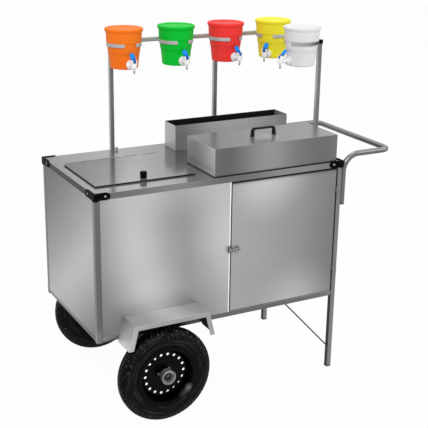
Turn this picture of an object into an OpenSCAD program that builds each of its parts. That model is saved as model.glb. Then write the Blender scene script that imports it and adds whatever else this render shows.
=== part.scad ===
// Street food push cart: a stainless cabinet on two wheels and two legs, with a flat hatch,
// a lift-off cover, an open trough and a rack of five syrup pots with taps.
// Millimetres, +Z up, +X towards the push handle, +Y towards the back, floor at Z = 0.

/* [Cabinet] */
// Length of the top plate
plate_l = 1000; // [820:5:1300]
// Depth of the top plate, front to back
plate_w = 520; // [430:5:700]
// Height of the top plate's upper face above the floor
plate_h = 857; // [760:1:1000]
// Thickness of the top plate
plate_t = 2; // [1.5:0.1:3]
// Height of the skirt folded down round the top plate
skirt_h = 22; // [22:1:30]
// Thickness of the skirt
skirt_t = 1.5; // [1:0.1:2]
// Height of the underside of the cabinet
cab_bottom = 312; // [260:1:380]
// Side of the square frame tube
tube = 20; // [16:1:24]
// Wall of every frame tube
tube_wall = 1.5; // [1:0.1:2]
// Thickness of the panels and of the folded boxes
sheet = 1.2; // [0.8:0.1:2]
// Setback of the panels behind the corner posts
panel_inset = 1; // [0.5:0.1:2]

/* [Door] */
// Left edge of the door from the left end of the plate
door_x = 525; // [500:1:600]
// Gap between the door and what is round it
door_gap = 4; // [3:0.5:6]
// How far the door stands in front of the corner posts
door_proud = 1.5; // [1:0.5:4]
// Full depth of the folded door
door_depth = 18; // [14:1:22]
// Height of the upper hinge's middle below the plate's upper face
hinge_top_drop = 119; // [80:1:200]
// Height of the lower hinge's middle above the cabinet's underside
hinge_low_rise = 109; // [60:1:160]
// Length of a door hinge
hinge_len = 46; // [36:1:60]
// Radius of a hinge knuckle
knuckle_r = 4; // [3.5:0.1:5]
// Radius of a hinge pin
pin_r = 2; // [1.5:0.1:2.5]
// Height of the latch above the cabinet's underside
latch_rise = 268; // [150:1:350]
// Radius of the latch's bolt
bolt_r = 3; // [2.5:0.1:4]

/* [Hatch and cover] */
// Left edge of the hatch lid from the left end of the plate
hatch_x = 33; // [25:1:60]
// Length of the hatch lid
hatch_l = 385; // [320:1:440]
// Front edge of the hatch lid from the front of the plate
hatch_y = 72; // [50:1:90]
// Strip of plate left behind the hatch lid
hatch_back_gap = 138; // [120:1:170]
// Width of the rim of plate that the lid covers
hatch_lap = 22; // [18:1:30]
// Height of the seal under the lid
seal_h = 4; // [3:0.5:6]
// Depth of the ice tub
tub_depth = 330; // [200:5:420]
// Gap between the hatch lid and the cover
cover_gap = 39; // [30:1:60]
// Strip of plate left to the right of the cover
cover_right_gap = 24; // [20:1:60]
// Strip of plate left in front of the cover
cover_front_gap = 6; // [4:1:20]
// Depth of the cover, front to back
cover_w = 219; // [170:1:250]
// Height of the cover
cover_h = 104; // [80:1:140]
// Depth of the serving pan below the plate
pan_depth = 150; // [80:5:220]
// Distance of the trough's left end to the right of the cover's left end
trough_shift = 34; // [10:1:60]
// Strip of plate left to the right of the trough
trough_right_gap = 5; // [4:1:40]
// Strip of plate left behind the trough
trough_back_gap = 32; // [30:1:60]
// Depth of the trough, front to back
trough_w = 95; // [70:1:115]
// Height of the trough
trough_h = 100; // [70:1:140]

/* [Running gear] */
// Outer diameter of a tyre
wheel_d = 354; // [300:2:400]
// Width of a tyre
tyre_w = 70; // [62:1:90]
// Distance of the wheel's axis from the left end of the plate
wheel_x = 227; // [195:1:300]
// Distance of a wheel's mid plane outside the cabinet's face
wheel_out = 64; // [58:1:90]
// Radius of the rim where the tyre sits
rim_seat_r = 101.6; // [90:0.1:115]
// Number of holes in the rim's disc
rim_holes = 18; // [12:1:20]
// Distance of the ring of holes inside the rim's barrel
rim_hole_in = 24.1; // [18:0.1:30]
// Radius of the axle
axle_r = 10; // [8:0.5:12]
// Height of the fender's underside over the tyre
fender_clear = 42; // [25:1:80]
// Length of the fender's flat top
fender_l = 290; // [240:1:320]
// How far each end of the fender splays out
fender_splay = 23; // [5:1:40]
// Drop of the fender's ends
fender_drop = 92; // [60:1:120]
// Depth of the fender from the cabinet's face
fender_w = 98; // [80:1:130]
// Width of the lip round the fender's outer edge
fender_lip = 18; // [10:1:25]
// Thickness of the fender
fender_t = 2; // [1.5:0.1:3]

/* [Handle] */
// Diameter of the handle's tube
handle_d = 22; // [19:0.5:26]
// Reach of the grip's centre line past the right end of the plate
handle_reach = 226; // [160:1:300]
// Height of the handle's arms above the plate
handle_rise = 19; // [14:1:60]
// Length of the handle's legs below the arms
handle_leg = 191; // [150:1:260]
// Bend radius between leg and arm
handle_bend = 65; // [40:1:75]
// Bend radius at the grip's corners
grip_bend = 32; // [26:1:60]

/* [Pot rack] */
// Underside of the pot rail above the plate
rail_rise = 411; // [380:1:500]
// Side of the rack's square tube
rack_tube = 16; // [14:1:20]
// Strip of plate left behind the back posts
post_back_gap = 9; // [4:1:12]
// Middle of the left post from the left end of the plate
post_left_x = 274; // [240:1:300]
// Middle of the middle post from the right end of the plate
post_mid_back = 282; // [240:1:330]
// Gap between the plate's right end and the right post
rack_side_gap = 3; // [3:0.5:8]
// Middle of the first pot from the left end of the plate
pot_first_x = 295; // [270:1:320]
// Gap between a pot ring and the rail
ring_stand = 6; // [4:0.5:12]
// Height of a pot ring
ring_h = 13; // [10:1:20]
// Thickness of a pot ring
ring_t = 2; // [1.5:0.1:3]
// Width of the gap in a pot ring
ring_gap = 44; // [42:1:56]

/* [Pots] */
// Height of a pot without its lid
pot_h = 145; // [125:1:175]
// How far a pot's rim stands out from its neck
pot_rim_out = 1.9; // [1:0.1:6]
// Outer radius of a pot's wall at its step
pot_step_r = 64.5; // [52:0.1:80]
// Depth of the step below the rim
pot_step_drop = 50; // [40:1:60]
// Width of the step that hangs on the ring
pot_step_w = 2; // [1.8:0.1:3.5]
// Outer radius of a pot's base
pot_base_r = 52; // [42:0.5:64]
// Wall of a pot
pot_wall = 2.2; // [1.6:0.1:3]
// Height of the tap's axis above the pot's base
tap_rise = 21; // [20:0.5:40]
// Gap between the tap's lever at rest and the pot
lever_clear = 1.3; // [1:0.1:8]
// Lean of the tap lever from upright, back towards the pot
lever_lean = 44; // [35:1:46]

/* [Hidden] */
$fn = 48;

// Clearances
slack = 0.2;
run_fit = 0.05;
eps = 1;

// Cabinet levels and frame lines
post_top = plate_h - skirt_h;
back_line = panel_inset + sheet;
rail_in = back_line + tube;
top_rail_z = min(post_top, plate_h - plate_t - tube);
panel_low = cab_bottom + tube;
floor_z = panel_low + sheet;
cap_t = 3;
foot_t = 4;
end_panel_rise = 8;
panel_gap = 2;
plug_t = 3;

// Fasteners
m8_r = 4;
m8_head_r = 7.5;
m8_head_h = 5.5;
m8_hole_r = 4.2;
screw_r = 2;
screw_head_r = 4.2;
screw_head_h = 2.5;

// Door
door_right = plate_l - tube - door_gap;
door_low = cab_bottom + tube + door_gap;
door_top_gap = 3;
door_top = top_rail_z - door_top_gap;
door_face = -door_proud;
hinge_offset = 5;
hinge_axis_x = door_right + hinge_offset;
hinge_axis_y = -knuckle_r - 1;
hinge_levels = [cab_bottom + hinge_low_rise, plate_h - hinge_top_drop];
leaf_t = 1.5;
latch_z = cab_bottom + latch_rise;
latch_stand = 5.5;
latch_axis_y = door_face - latch_stand;
panel_right = door_x - panel_gap;
guide_len = 28;
leaf_reach = 12;
bolt_tip_in = 1.5;
bolt_tip_x = panel_right + bolt_tip_in;
guide_x = door_x + 2;
latch_plate_half = 14;
latch_knob_stem = 11;

// Hatch
hatch_r = hatch_x + hatch_l;
hatch_end = plate_w - hatch_back_gap;
tub_x = hatch_x + hatch_lap;
tub_r = hatch_r - hatch_lap;
tub_y = hatch_y + hatch_lap;
tub_end = hatch_end - hatch_lap;
tub_flange = 10;
lid_z = plate_h + seal_h;
lid_hinge_r = 3;
lid_pin_r = 1.5;
lid_hinge_y = hatch_end + lid_hinge_r + 1;
lid_hinge_inset = 12;
lid_hinge_leaf = 16;
lid_knuckles = 9;
knuckle_len = (hatch_l - 2 * lid_hinge_inset) / lid_knuckles;
knob_r = 12.5;
knob_h = 22;
knob_y = hatch_y + 30;

// Cover, pan and trough
cover_x = hatch_r + cover_gap;
cover_r = plate_l - cover_right_gap;
cover_end = cover_front_gap + cover_w;
pan_side = 20;
pan_front_room = 28;
pan_front = rail_in + pan_front_room;
pan_back = cover_end - pan_side;
pan_flange = 8;
pan_room = 2;
grip_x = (cover_x + cover_r) / 2;
grip_y = cover_front_gap + cover_w / 2;
grip_half = 47;
grip_rise = 32;
grip_r = 5.5;
trough_x = cover_x + trough_shift;
trough_r = plate_l - trough_right_gap;
trough_end = plate_w - trough_back_gap;

// Wheels, measured from the wheel's mid plane, outwards positive
wheel_r = wheel_d / 2;
hub_out = 40;
hub_in = 30;
hub_r = 27;
hub_neck_r = 16.5;
hub_house = 24;
hub_flange_r = 46;
hub_flange_t = 4;
hub_back_r = 23;
hub_bolt_r = 3;
hub_bolts = 3;
hub_bolt_ring_r = 25;
hub_bolt_turn = 50;
bearing_r = 21;
bearing_t = 12;
bearing_out = hub_out - 10;
bearing_in = -hub_in + 2;
disc_t = 2.5;
rim_flange_h = 14;
rim_half = 29;
rim_t = 2.5;
rim_hole_r = 5.2;
rim_barrel_r = rim_seat_r - rim_t;
rim_hole_ring_r = rim_barrel_r - rim_hole_in;
washer_r = 15;
washer_t = 2.6;
collar_r = 14;
end_play = 0.4;
axle_end = bearing_out + end_play;
hanger_y = 118;
hanger_t = 6;
hanger_half = 70;
hanger_eye_r = 24;
cross_rail_x = [wheel_x - hanger_half, wheel_x + hanger_half - tube];
fender_lead = 18;
fender_x = wheel_x + fender_lead;
fender_tab_h = 30;
fender_top = max(wheel_d + fender_clear + fender_t, panel_low + fender_tab_h);
fender_bolt_half = 90;
fender_bolt_drop = 18;
fender_bolt_x = [fender_x - fender_bolt_half, fender_x + fender_bolt_half];
fender_bolt_z = fender_top - fender_bolt_drop;

// Handle
handle_r = handle_d / 2;
handle_stand = 0.5;
handle_in = 14;
handle_x = plate_l + cap_t + handle_stand + handle_r;
handle_y = [handle_in, plate_w - handle_in];
arm_z = plate_h + handle_rise;
handle_low = arm_z - handle_leg;
grip_bar_x = plate_l + handle_reach;
stub_rises = [25, 95];
handle_stub_z = [for (rise = stub_rises) handle_low + rise];
handle_stub_r = 7;
mid_x = (grip_bar_x + handle_r - cap_t - screw_head_h) / 2;

// Leg braces
brace_r = 3;
brace_run = 205;
brace_fall = 220;
brace_y = [tube / 2, plate_w - tube / 2];

// Pot rack
rail_z = plate_h + rail_rise;
rack_y = plate_w - post_back_gap - rack_tube;
rack_x = plate_l + rack_side_gap;
socket_wall = 2;
socket_fit = 0.1;
socket_h = 32;
spigot = rack_tube - 2 * (tube_wall + socket_fit);
rail_cap_t = 8;
ring_fit = 0.7;
ring_r = pot_step_r - pot_step_w + ring_fit;
ring_tab = 20;
tab_bite = 0.4;
pot_stand = ring_r + ring_t + ring_stand;
post_xs = [post_left_x, plate_l - post_mid_back];
pot_y = rack_y - pot_stand;
pot_last_x = rack_x - pot_stand;
pot_pitch = (pot_last_x - pot_first_x) / 3;
side_pot_y = pot_y - pot_pitch;
side_post_shift = 4;
rail_end_in = 5;
ring_rise = 4;
side_post_y = side_pot_y - side_post_shift;
rail_front = side_post_y - rack_tube / 2 + rail_end_in;
ring_z = rail_z + ring_rise;
pot_rim_z = ring_z + ring_h + pot_step_drop;
pot_base_z = pot_rim_z - pot_h;
side_socket_drops = [170, 55];
side_socket_low = plate_h - side_socket_drops[0];
side_socket_top = plate_h - side_socket_drops[1];

// Pots: name, place, and the ways the tap and the ring's tabs face, in degrees from +X
POTS = [
    ["orange", pot_first_x, pot_y, 270, [90]],
    ["green", pot_first_x + pot_pitch, pot_y, 270, [90]],
    ["red", pot_first_x + 2 * pot_pitch, pot_y, 278, [90]],
    ["yellow", pot_last_x, pot_y, 220, [0, 90]],
    ["white", pot_last_x, side_pot_y, 180, [0]]
];
POT_COLOURS = ["darkorange", "limegreen", "red", "gold", "ghostwhite"];
bead_h = 12;
neck_flare = 2;
neck_r = pot_step_r + neck_flare;
pot_rim_r = neck_r + pot_rim_out;
low_r = pot_step_r - pot_step_w;
low_h = pot_h - pot_step_drop;
function wall_r(z) = pot_base_r + (low_r - pot_base_r) * z / low_h;
base_round = 6;
pot_waist_z = 58;
pot_waist = 1.6;
lid_t = 2;
lid_skirt = 8;
lid_gap = 0.4;
pad_r = 17;
pad_stand = 3.7;
pad_depth = 12;
pad_face = wall_r(tap_rise) + pad_stand;
pad_back = pad_face - pad_depth;
tap_shank_r = 8;
nut_fit = 0.1;
tap_flange_t = 5;
tap_body_r = 9;
tap_bore_r = 4;
spout_bore_r = 3.2;
spout_head = 8;
ear_low = 4;
spout_tip_drop = 24;
ear_w = 6.2;
ear_t = 3;
ear_r = 6;
pivot_rise = 16;
lever_len = 40;
lever_w = 17;
lever_t = 8;
lever_barrel_r = 5.6;
lever_neck = ear_r + 1.5;
lever_neck_in = 1;
lever_tip_z = tap_rise + pivot_rise + lever_len * cos(lever_lean);
lever_over = lever_len * sin(lever_lean) + lever_t / 2 * cos(lever_lean);
spout_r = wall_r(lever_tip_z) + pot_waist / 2 + lever_clear + lever_over;
lever_pin_r = 1.5;

// Helpers

module place() {
    translate([-mid_x, -plate_w / 2, 0]) children();
}

// A block between two opposite corners
module box(low, high) {
    translate(low) cube(high - low);
}

// A square tube along axis 0, 1 or 2 between two opposite corners
module tube_bar(low, high, axis) {
    step = [for (i = [0:2]) i == axis ? -eps : tube_wall];
    difference() {
        box(low, high);
        box(low + step, high - step);
    }
}

// The same thing at the front and, mirrored, at the back
module front_and_back() {
    children();
    translate([0, plate_w, 0]) mirror([0, 1, 0]) children();
}

// A hex bolt whose head sits on z = 0 and whose shank runs down
module hex_bolt(len) {
    cylinder(r = m8_head_r, h = m8_head_h, $fn = 6);
    translate([0, 0, -len]) cylinder(r = m8_r, h = len);
}

// An open-topped folded box between two opposite outer corners
module open_box(low, high) {
    wall = [sheet, sheet, sheet];
    difference() {
        box(low, high);
        box(low + wall, [high[0] - sheet, high[1] - sheet, high[2] + eps]);
    }
}

// Frame and panels

module frame_posts() {
    post_x = [0, plate_l - tube];
    for (i = [0, 1])
        for (y = [0, plate_w - tube])
            tube_bar(
                [post_x[i], y, i == 0 ? cab_bottom : foot_t],
                [post_x[i] + tube, y + tube, post_top],
                2
            );
}

module frame_ring(z, x_end, y_end) {
    front_and_back()
        tube_bar([x_end, back_line, z], [plate_l - x_end, rail_in, z + tube], 0);
    for (x = [back_line, plate_l - rail_in])
        tube_bar([x, y_end, z], [x + tube, plate_w - y_end, z + tube], 1);
}

module frame() {
    color("silver") place() {
        frame_posts();
        frame_ring(top_rail_z, back_line, rail_in);
        frame_ring(cab_bottom, tube, rail_in);
        for (x = cross_rail_x)
            tube_bar([x, rail_in, cab_bottom], [x + tube, plate_w - rail_in, cab_bottom + tube], 1);
        tube_bar([panel_right - tube, back_line, floor_z], [panel_right, rail_in, top_rail_z], 2);
    }
}

module end_panels() {
    color("gainsboro") place()
        for (x = [panel_inset, plate_l - back_line])
            box(
                [x, tube + slack, cab_bottom + end_panel_rise],
                [x + sheet, plate_w - tube - slack, post_top - slack]
            );
}

module fender_bolt_holes() {
    for (x = fender_bolt_x)
        translate([x, -tube, fender_bolt_z]) rotate([-90, 0, 0]) cylinder(r = m8_hole_r, h = tube * 2);
}

module front_panel() {
    color("gainsboro") place() difference() {
        box([tube + slack, panel_inset, panel_low], [panel_right, back_line, post_top - slack]);
        fender_bolt_holes();
    }
}

module back_panel() {
    color("gainsboro") place() difference() {
        box(
            [tube + slack, plate_w - back_line, panel_low],
            [plate_l - tube - slack, plate_w - panel_inset, post_top - slack]
        );
        translate([0, plate_w, 0]) mirror([0, 1, 0]) fender_bolt_holes();
    }
}

module floor_panel() {
    color("silver") place()
        box(
            [tube + slack, back_line + slack, cab_bottom + tube],
            [plate_l - tube - slack, plate_w - back_line - slack, floor_z]
        );
}

module divider_panel() {
    x = panel_right - tube / 2;
    color("silver") place() difference() {
        box([x, rail_in, floor_z], [x + sheet, plate_w - back_line - slack, top_rail_z]);
        box(
            [x - eps, rail_in - eps, plate_h - pan_depth - pan_room],
            [x + sheet + eps, pan_back + pan_room, plate_h]
        );
    }
}

module plate_skirt() {
    difference() {
        box([0, 0, post_top], [plate_l, plate_w, plate_h]);
        box([skirt_t, skirt_t, post_top - eps], [plate_l - skirt_t, plate_w - skirt_t, plate_h - plate_t]);
    }
}

module top_plate() {
    color("gainsboro") place() difference() {
        plate_skirt();
        box(
            [tub_x + sheet, tub_y + sheet, post_top],
            [tub_r - sheet, tub_end - sheet, plate_h + eps]
        );
        box(
            [cover_x + pan_side, pan_front, post_top],
            [cover_r - pan_side, pan_back, plate_h + eps]
        );
        at_corners() cap_screw_holes();
    }
}

// Corner caps

cap_arm = 58;
cap_side_arm = 76;
cap_top_t = 3;
cap_lip = 4;
cap_tab = 14;
cap_tab_drop = 3;
cap_arm_h = skirt_h + cap_top_t;
cap_screw_share = 0.68;

module at_corners() {
    front_and_back() {
        children();
        translate([plate_l, 0, 0]) mirror([1, 0, 0]) children();
    }
}

// One arm along the front face, with a round end
module cap_arm_plate(arm) {
    end_r = cap_arm_h / 2;
    translate([0, 0, post_top]) rotate([90, 0, 0]) linear_extrude(cap_t) {
        translate([-cap_t, 0]) square([arm - end_r + cap_t, cap_arm_h]);
        translate([arm - end_r, end_r]) circle(r = end_r);
        translate([-cap_t, -cap_tab_drop]) square([cap_tab + cap_t, cap_tab_drop + eps]);
    }
    box([-cap_t, -cap_t, plate_h], [arm - end_r, cap_lip, plate_h + cap_top_t]);
}

// The same arm along the left face
module swap_xy() {
    mirror([1, -1, 0]) children();
}

module cap_screw_hole(arm) {
    translate([arm * cap_screw_share, -tube, post_top + cap_arm_h / 2])
        rotate([-90, 0, 0]) cylinder(r = screw_r + run_fit, h = tube + back_line);
}

module cap_screw_holes() {
    cap_screw_hole(cap_arm);
    swap_xy() cap_screw_hole(cap_side_arm);
}

module cap_body() {
    difference() {
        union() {
            cap_arm_plate(cap_arm);
            swap_xy() cap_arm_plate(cap_side_arm);
        }
        cap_screw_holes();
    }
}

module corner_caps() {
    color("black") place() at_corners() cap_body();
}

module cap_screw(arm) {
    dome_r = 5;
    translate([arm * cap_screw_share, -cap_t, post_top + cap_arm_h / 2]) rotate([90, 0, 0]) {
        intersection() {
            cylinder(r = screw_head_r, h = screw_head_h);
            translate([0, 0, screw_head_h - dome_r]) sphere(r = dome_r);
        }
        translate([0, 0, -cap_t - skirt_t]) cylinder(r = screw_r, h = cap_t + skirt_t);
    }
}

module cap_screws() {
    color("silver") place() at_corners() {
        cap_screw(cap_arm);
        swap_xy() cap_screw(cap_side_arm);
    }
}

// Legs, plugs and braces

plug_in = 14;
plug_fit = tube_wall + 0.1;

// A square plug whose flange fills z = 0 to flange_t and whose stub runs up
module square_plug(side, flange_t) {
    stub = side - 2 * plug_fit;
    cube([side, side, flange_t]);
    translate([plug_fit, plug_fit, 0]) cube([stub, stub, flange_t + plug_in]);
}

module round_plug() {
    cylinder(r = handle_r, h = plug_t);
    cylinder(r = handle_r - plug_fit, h = plug_t + plug_in);
}

module tube_plugs() {
    color("black") place() {
        for (y = [0, plate_w - tube])
            translate([plate_l - tube, y, 0]) square_plug(tube, foot_t);
        for (y = handle_y)
            translate([handle_x, y, handle_low - plug_t]) round_plug();
        translate([rack_x, rail_front - rail_cap_t, rail_z + rack_tube])
            rotate([-90, 0, 0]) square_plug(rack_tube, rail_cap_t);
        translate([post_left_x - rack_tube / 2 - plug_t, rack_y, rail_z + rack_tube])
            rotate([0, 90, 0]) square_plug(rack_tube, plug_t);
    }
}

module leg_braces() {
    span = norm([brace_run, brace_fall]);
    lean = atan2(brace_run, brace_fall);
    top_x = plate_l - tube - brace_run;
    color("silver") place()
        for (y = brace_y)
            intersection() {
                translate([top_x, y, cab_bottom])
                    rotate([0, 180 - lean, 0])
                        translate([0, 0, -tube]) cylinder(r = brace_r, h = span + 2 * tube);
                box([0, 0, 0], [plate_l - tube, plate_w, cab_bottom]);
            }
}

// Running gear

// Places a part modelled along +Z at the front wheel, +Z pointing outwards
module at_front_wheel() {
    translate([wheel_x, -wheel_out, wheel_r]) rotate([90, 0, 0]) children();
}

module axle() {
    color("dimgray") place() difference() {
        union() {
            translate([wheel_x, -wheel_out - axle_end, wheel_r])
                rotate([-90, 0, 0])
                    cylinder(r = axle_r, h = plate_w + 2 * (wheel_out + axle_end));
            front_and_back() at_front_wheel()
                translate([0, 0, bearing_in - end_play - collar_r]) cylinder(r = collar_r, h = collar_r);
        }
        front_and_back() at_front_wheel()
            translate([0, 0, axle_end - tube]) cylinder(r = m8_r + run_fit, h = tube + eps);
    }
}

module hanger_outline() {
    difference() {
        union() {
            polygon([
                [-hanger_half, cab_bottom - wheel_r],
                [hanger_half, cab_bottom - wheel_r],
                [hanger_half, cab_bottom - wheel_r - tube],
                [hanger_eye_r, 0],
                [-hanger_eye_r, 0],
                [-hanger_half, cab_bottom - wheel_r - tube]
            ]);
            circle(r = hanger_eye_r);
        }
        circle(r = axle_r + run_fit);
    }
}

module axle_hangers() {
    color("gray") place() front_and_back()
        translate([wheel_x, hanger_y + hanger_t, wheel_r])
            rotate([90, 0, 0]) linear_extrude(hanger_t) hanger_outline();
}

// A band of a given width along the inside of the fender's three-sided outline
module fender_band(width) {
    side = width * norm([fender_splay, fender_drop]) / fender_drop;
    slope = fender_splay / fender_drop;
    half = fender_l / 2;
    foot = half + fender_splay;
    polygon([
        [-foot, -fender_drop], [-half, 0], [half, 0], [foot, -fender_drop],
        [foot - side, -fender_drop], [half + slope * width - side, -width],
        [-half - slope * width + side, -width], [-foot + side, -fender_drop]
    ]);
}

module fender_body() {
    difference() {
        union() {
            translate([fender_x, panel_inset, fender_top]) rotate([90, 0, 0]) {
                linear_extrude(fender_w + panel_inset) fender_band(fender_t);
                translate([0, 0, fender_w + panel_inset - fender_t])
                    linear_extrude(fender_t) fender_band(fender_lip);
            }
            box(
                [fender_x - fender_l / 2 + fender_t, panel_inset - fender_t, fender_top - fender_tab_h],
                [fender_x + fender_l / 2 - fender_t, panel_inset, fender_top - fender_t]
            );
        }
        fender_bolt_holes();
    }
}

module fenders() {
    color("silver") place() front_and_back() fender_body();
}

module fender_bolts() {
    for (x = fender_bolt_x)
        translate([x, panel_inset - fender_t, fender_bolt_z]) rotate([90, 0, 0]) hex_bolt(fender_t + 10);
}

module axle_bolts() {
    at_front_wheel() {
        translate([0, 0, axle_end + washer_t]) hex_bolt(tube * 0.8);
        translate([0, 0, axle_end]) difference() {
            cylinder(r = washer_r, h = washer_t);
            translate([0, 0, -eps]) cylinder(r = m8_hole_r, h = tube);
        }
    }
}

clamp_stand = 9;
clamp_z = plate_h + m8_head_r + 1;
clamp_side_z = side_socket_top + socket_h / 2;

// Bolts that clamp the three posts of the rack
module clamp_bolts() {
    back_reach = clamp_stand + tube_wall + socket_fit;
    side_reach = clamp_stand + socket_wall + socket_fit;
    for (x = post_xs)
        translate([x + rack_tube / 2 + clamp_stand, rack_y + rack_tube / 2, clamp_z])
            rotate([0, 90, 0]) hex_bolt(back_reach);
    translate([rack_x + rack_tube + side_reach, side_post_y, clamp_side_z])
        rotate([0, 90, 0]) hex_bolt(side_reach);
}

module hex_bolts() {
    color("lightgray") place() {
        front_and_back() {
            fender_bolts();
            axle_bolts();
        }
        clamp_bolts();
    }
}

// Half of the tyre's section as radius and width, from the bead to the crown
tyre_mid_r = (wheel_r + rim_seat_r + rim_flange_h - 9) / 2;
tyre_rise = wheel_r - tyre_mid_r;
tyre_wall = 8;
tyre_square = 0.72;
function tyre_curve(rise, half, from) = [
    for (a = [from:10:180 - from]) [
        tyre_mid_r + rise * sin(a),
        half * sign(cos(a)) * pow(abs(cos(a)), tyre_square)
    ]
];
function reversed(list) = [for (i = [len(list) - 1:-1:0]) list[i]];

module tyre_shape() {
    bead = rim_half - slack;
    lip_r = rim_seat_r + rim_flange_h + 1;
    inner_bead = bead - tyre_wall - 2;
    rotate_extrude($fn = 96)
        polygon(concat(
            [[rim_seat_r + slack, bead], [lip_r, bead]],
            tyre_curve(tyre_rise, tyre_w / 2, -30),
            [[lip_r, -bead], [rim_seat_r + slack, -bead], [rim_seat_r + slack, -inner_bead]],
            reversed(tyre_curve(tyre_rise - tyre_wall, tyre_w / 2 - tyre_wall, -40)),
            [[rim_seat_r + slack, inner_bead]]
        ));
}

// A rim's dished disc and its barrel, pressed together
module rim_shape() {
    disc_r = rim_barrel_r - run_fit;
    dish = 6;
    difference() {
        rotate_extrude($fn = 96) {
            polygon([
                [hub_neck_r + slack, 0], [rim_hole_ring_r + 10, 0], [disc_r - 4, -dish], [disc_r, -dish],
                [disc_r, disc_t - dish], [disc_r - 4, disc_t - dish], [rim_hole_ring_r + 10, disc_t],
                [hub_neck_r + slack, disc_t]
            ]);
            polygon([
                [rim_barrel_r, -rim_half - rim_t], [rim_seat_r + rim_flange_h, -rim_half - rim_t],
                [rim_seat_r + rim_flange_h, -rim_half], [rim_seat_r, -rim_half],
                [rim_seat_r, rim_half], [rim_seat_r + rim_flange_h, rim_half],
                [rim_seat_r + rim_flange_h, rim_half + rim_t], [rim_barrel_r, rim_half + rim_t]
            ]);
        }
        for (i = [0:rim_holes - 1])
            rotate([0, 0, i * 360 / rim_holes]) translate([rim_hole_ring_r, 0, -tube])
                cylinder(r = rim_hole_r, h = 2 * tube);
        hub_bolt_holes();
    }
}

module at_hub_bolts() {
    for (i = [0:hub_bolts - 1])
        rotate([0, 0, hub_bolt_turn + i * 360 / hub_bolts])
            translate([hub_bolt_ring_r, 0, 0]) children();
}

module hub_bolt_holes() {
    at_hub_bolts() translate([0, 0, -hub_flange_t - eps])
        cylinder(r = hub_bolt_r + run_fit, h = hub_flange_t + 3 * disc_t);
}

module hub_barrel() {
    difference() {
        union() {
            translate([0, 0, -hub_in]) cylinder(r = hub_back_r, h = hub_in);
            translate([0, 0, -hub_flange_t]) cylinder(r = hub_flange_r, h = hub_flange_t);
            cylinder(r = hub_neck_r, h = hub_out);
            translate([0, 0, hub_out - hub_house]) cylinder(r = hub_r, h = hub_house);
        }
        translate([0, 0, -hub_in - eps]) cylinder(r = axle_r + 2, h = hub_in + hub_out + 2 * eps);
        translate([0, 0, bearing_out - bearing_t]) cylinder(r = bearing_r, h = tube * 2);
        translate([0, 0, -hub_in - eps]) cylinder(r = bearing_r, h = bearing_t + 2 + eps);
        hub_bolt_holes();
    }
}

module bearing() {
    difference() {
        cylinder(r = bearing_r, h = bearing_t);
        translate([0, 0, -eps]) cylinder(r = axle_r + run_fit, h = bearing_t + 2 * eps);
    }
}

module hub_bolt() {
    translate([0, 0, -hub_flange_t]) cylinder(r = hub_bolt_r, h = hub_flange_t + disc_t);
    translate([0, 0, disc_t]) cylinder(r = hub_bolt_r + 2, h = 4, $fn = 6);
}

module hub_shape() {
    hub_barrel();
    translate([0, 0, bearing_out - bearing_t]) bearing();
    translate([0, 0, bearing_in]) bearing();
    at_hub_bolts() hub_bolt();
}

// One wheel part at the front wheel (side 0) or mirrored to the rear wheel (side 1)
module wheel_part(side) {
    place()
        if (side == 0) at_front_wheel() children();
        else translate([0, plate_w, 0]) mirror([0, 1, 0]) at_front_wheel() children();
}

module front_tyre() { color([0.08, 0.08, 0.08]) wheel_part(0) tyre_shape(); }
module rear_tyre() { color([0.08, 0.08, 0.08]) wheel_part(1) tyre_shape(); }
module front_rim() { color([0.12, 0.12, 0.12]) wheel_part(0) rim_shape(); }
module rear_rim() { color([0.12, 0.12, 0.12]) wheel_part(1) rim_shape(); }
module front_hub() { color("darkgray") wheel_part(0) hub_shape(); }
module rear_hub() { color("darkgray") wheel_part(1) hub_shape(); }

// Push handle

module quarter_bend(bend, r) {
    rotate_extrude(angle = 90) translate([bend, 0]) circle(r = r);
}

// The handle's solid path at radius r, with open ends run past by extra
module handle_path(r, extra) {
    arm_x = handle_x + handle_bend;
    end_x = grip_bar_x - grip_bend;
    bar_len = handle_y[1] - handle_y[0] - 2 * grip_bend;
    for (y = handle_y) {
        translate([handle_x, y, handle_low - extra])
            cylinder(r = r, h = arm_z - handle_bend - handle_low + extra);
        translate([arm_x, y, arm_z - handle_bend])
            rotate([90, 0, 0]) rotate([0, 0, 90]) quarter_bend(handle_bend, r);
        translate([arm_x, y, arm_z]) rotate([0, 90, 0]) cylinder(r = r, h = end_x - arm_x);
    }
    translate([end_x, handle_y[0] + grip_bend, arm_z]) rotate([0, 0, 270]) quarter_bend(grip_bend, r);
    translate([end_x, handle_y[1] - grip_bend, arm_z]) quarter_bend(grip_bend, r);
    translate([grip_bar_x, handle_y[0] + grip_bend, arm_z])
        rotate([-90, 0, 0]) cylinder(r = r, h = bar_len);
}

module push_handle() {
    color("silver") place() difference() {
        union() {
            handle_path(handle_r, 0);
            handle_stubs();
        }
        handle_path(handle_r - tube_wall, eps);
    }
}

// Short welded stubs that hold the legs off the corner posts
module handle_stubs() {
    for (y = handle_y)
        for (z = handle_stub_z)
            translate([plate_l, y, z]) rotate([0, 90, 0])
                cylinder(r = handle_stub_r, h = handle_x - plate_l);
}

// Boxes under and on the plate

module ice_tub() {
    top = plate_h - plate_t;
    color("silver") place() {
        difference() {
            union() {
                box([tub_x, tub_y, plate_h - tub_depth], [tub_r, tub_end, top]);
                box(
                    [tub_x - tub_flange, tub_y - tub_flange, top - sheet],
                    [tub_r + tub_flange, tub_end + tub_flange, top]
                );
            }
            box(
                [tub_x + sheet, tub_y + sheet, plate_h - tub_depth + sheet],
                [tub_r - sheet, tub_end - sheet, plate_h]
            );
        }
    }
}

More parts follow.
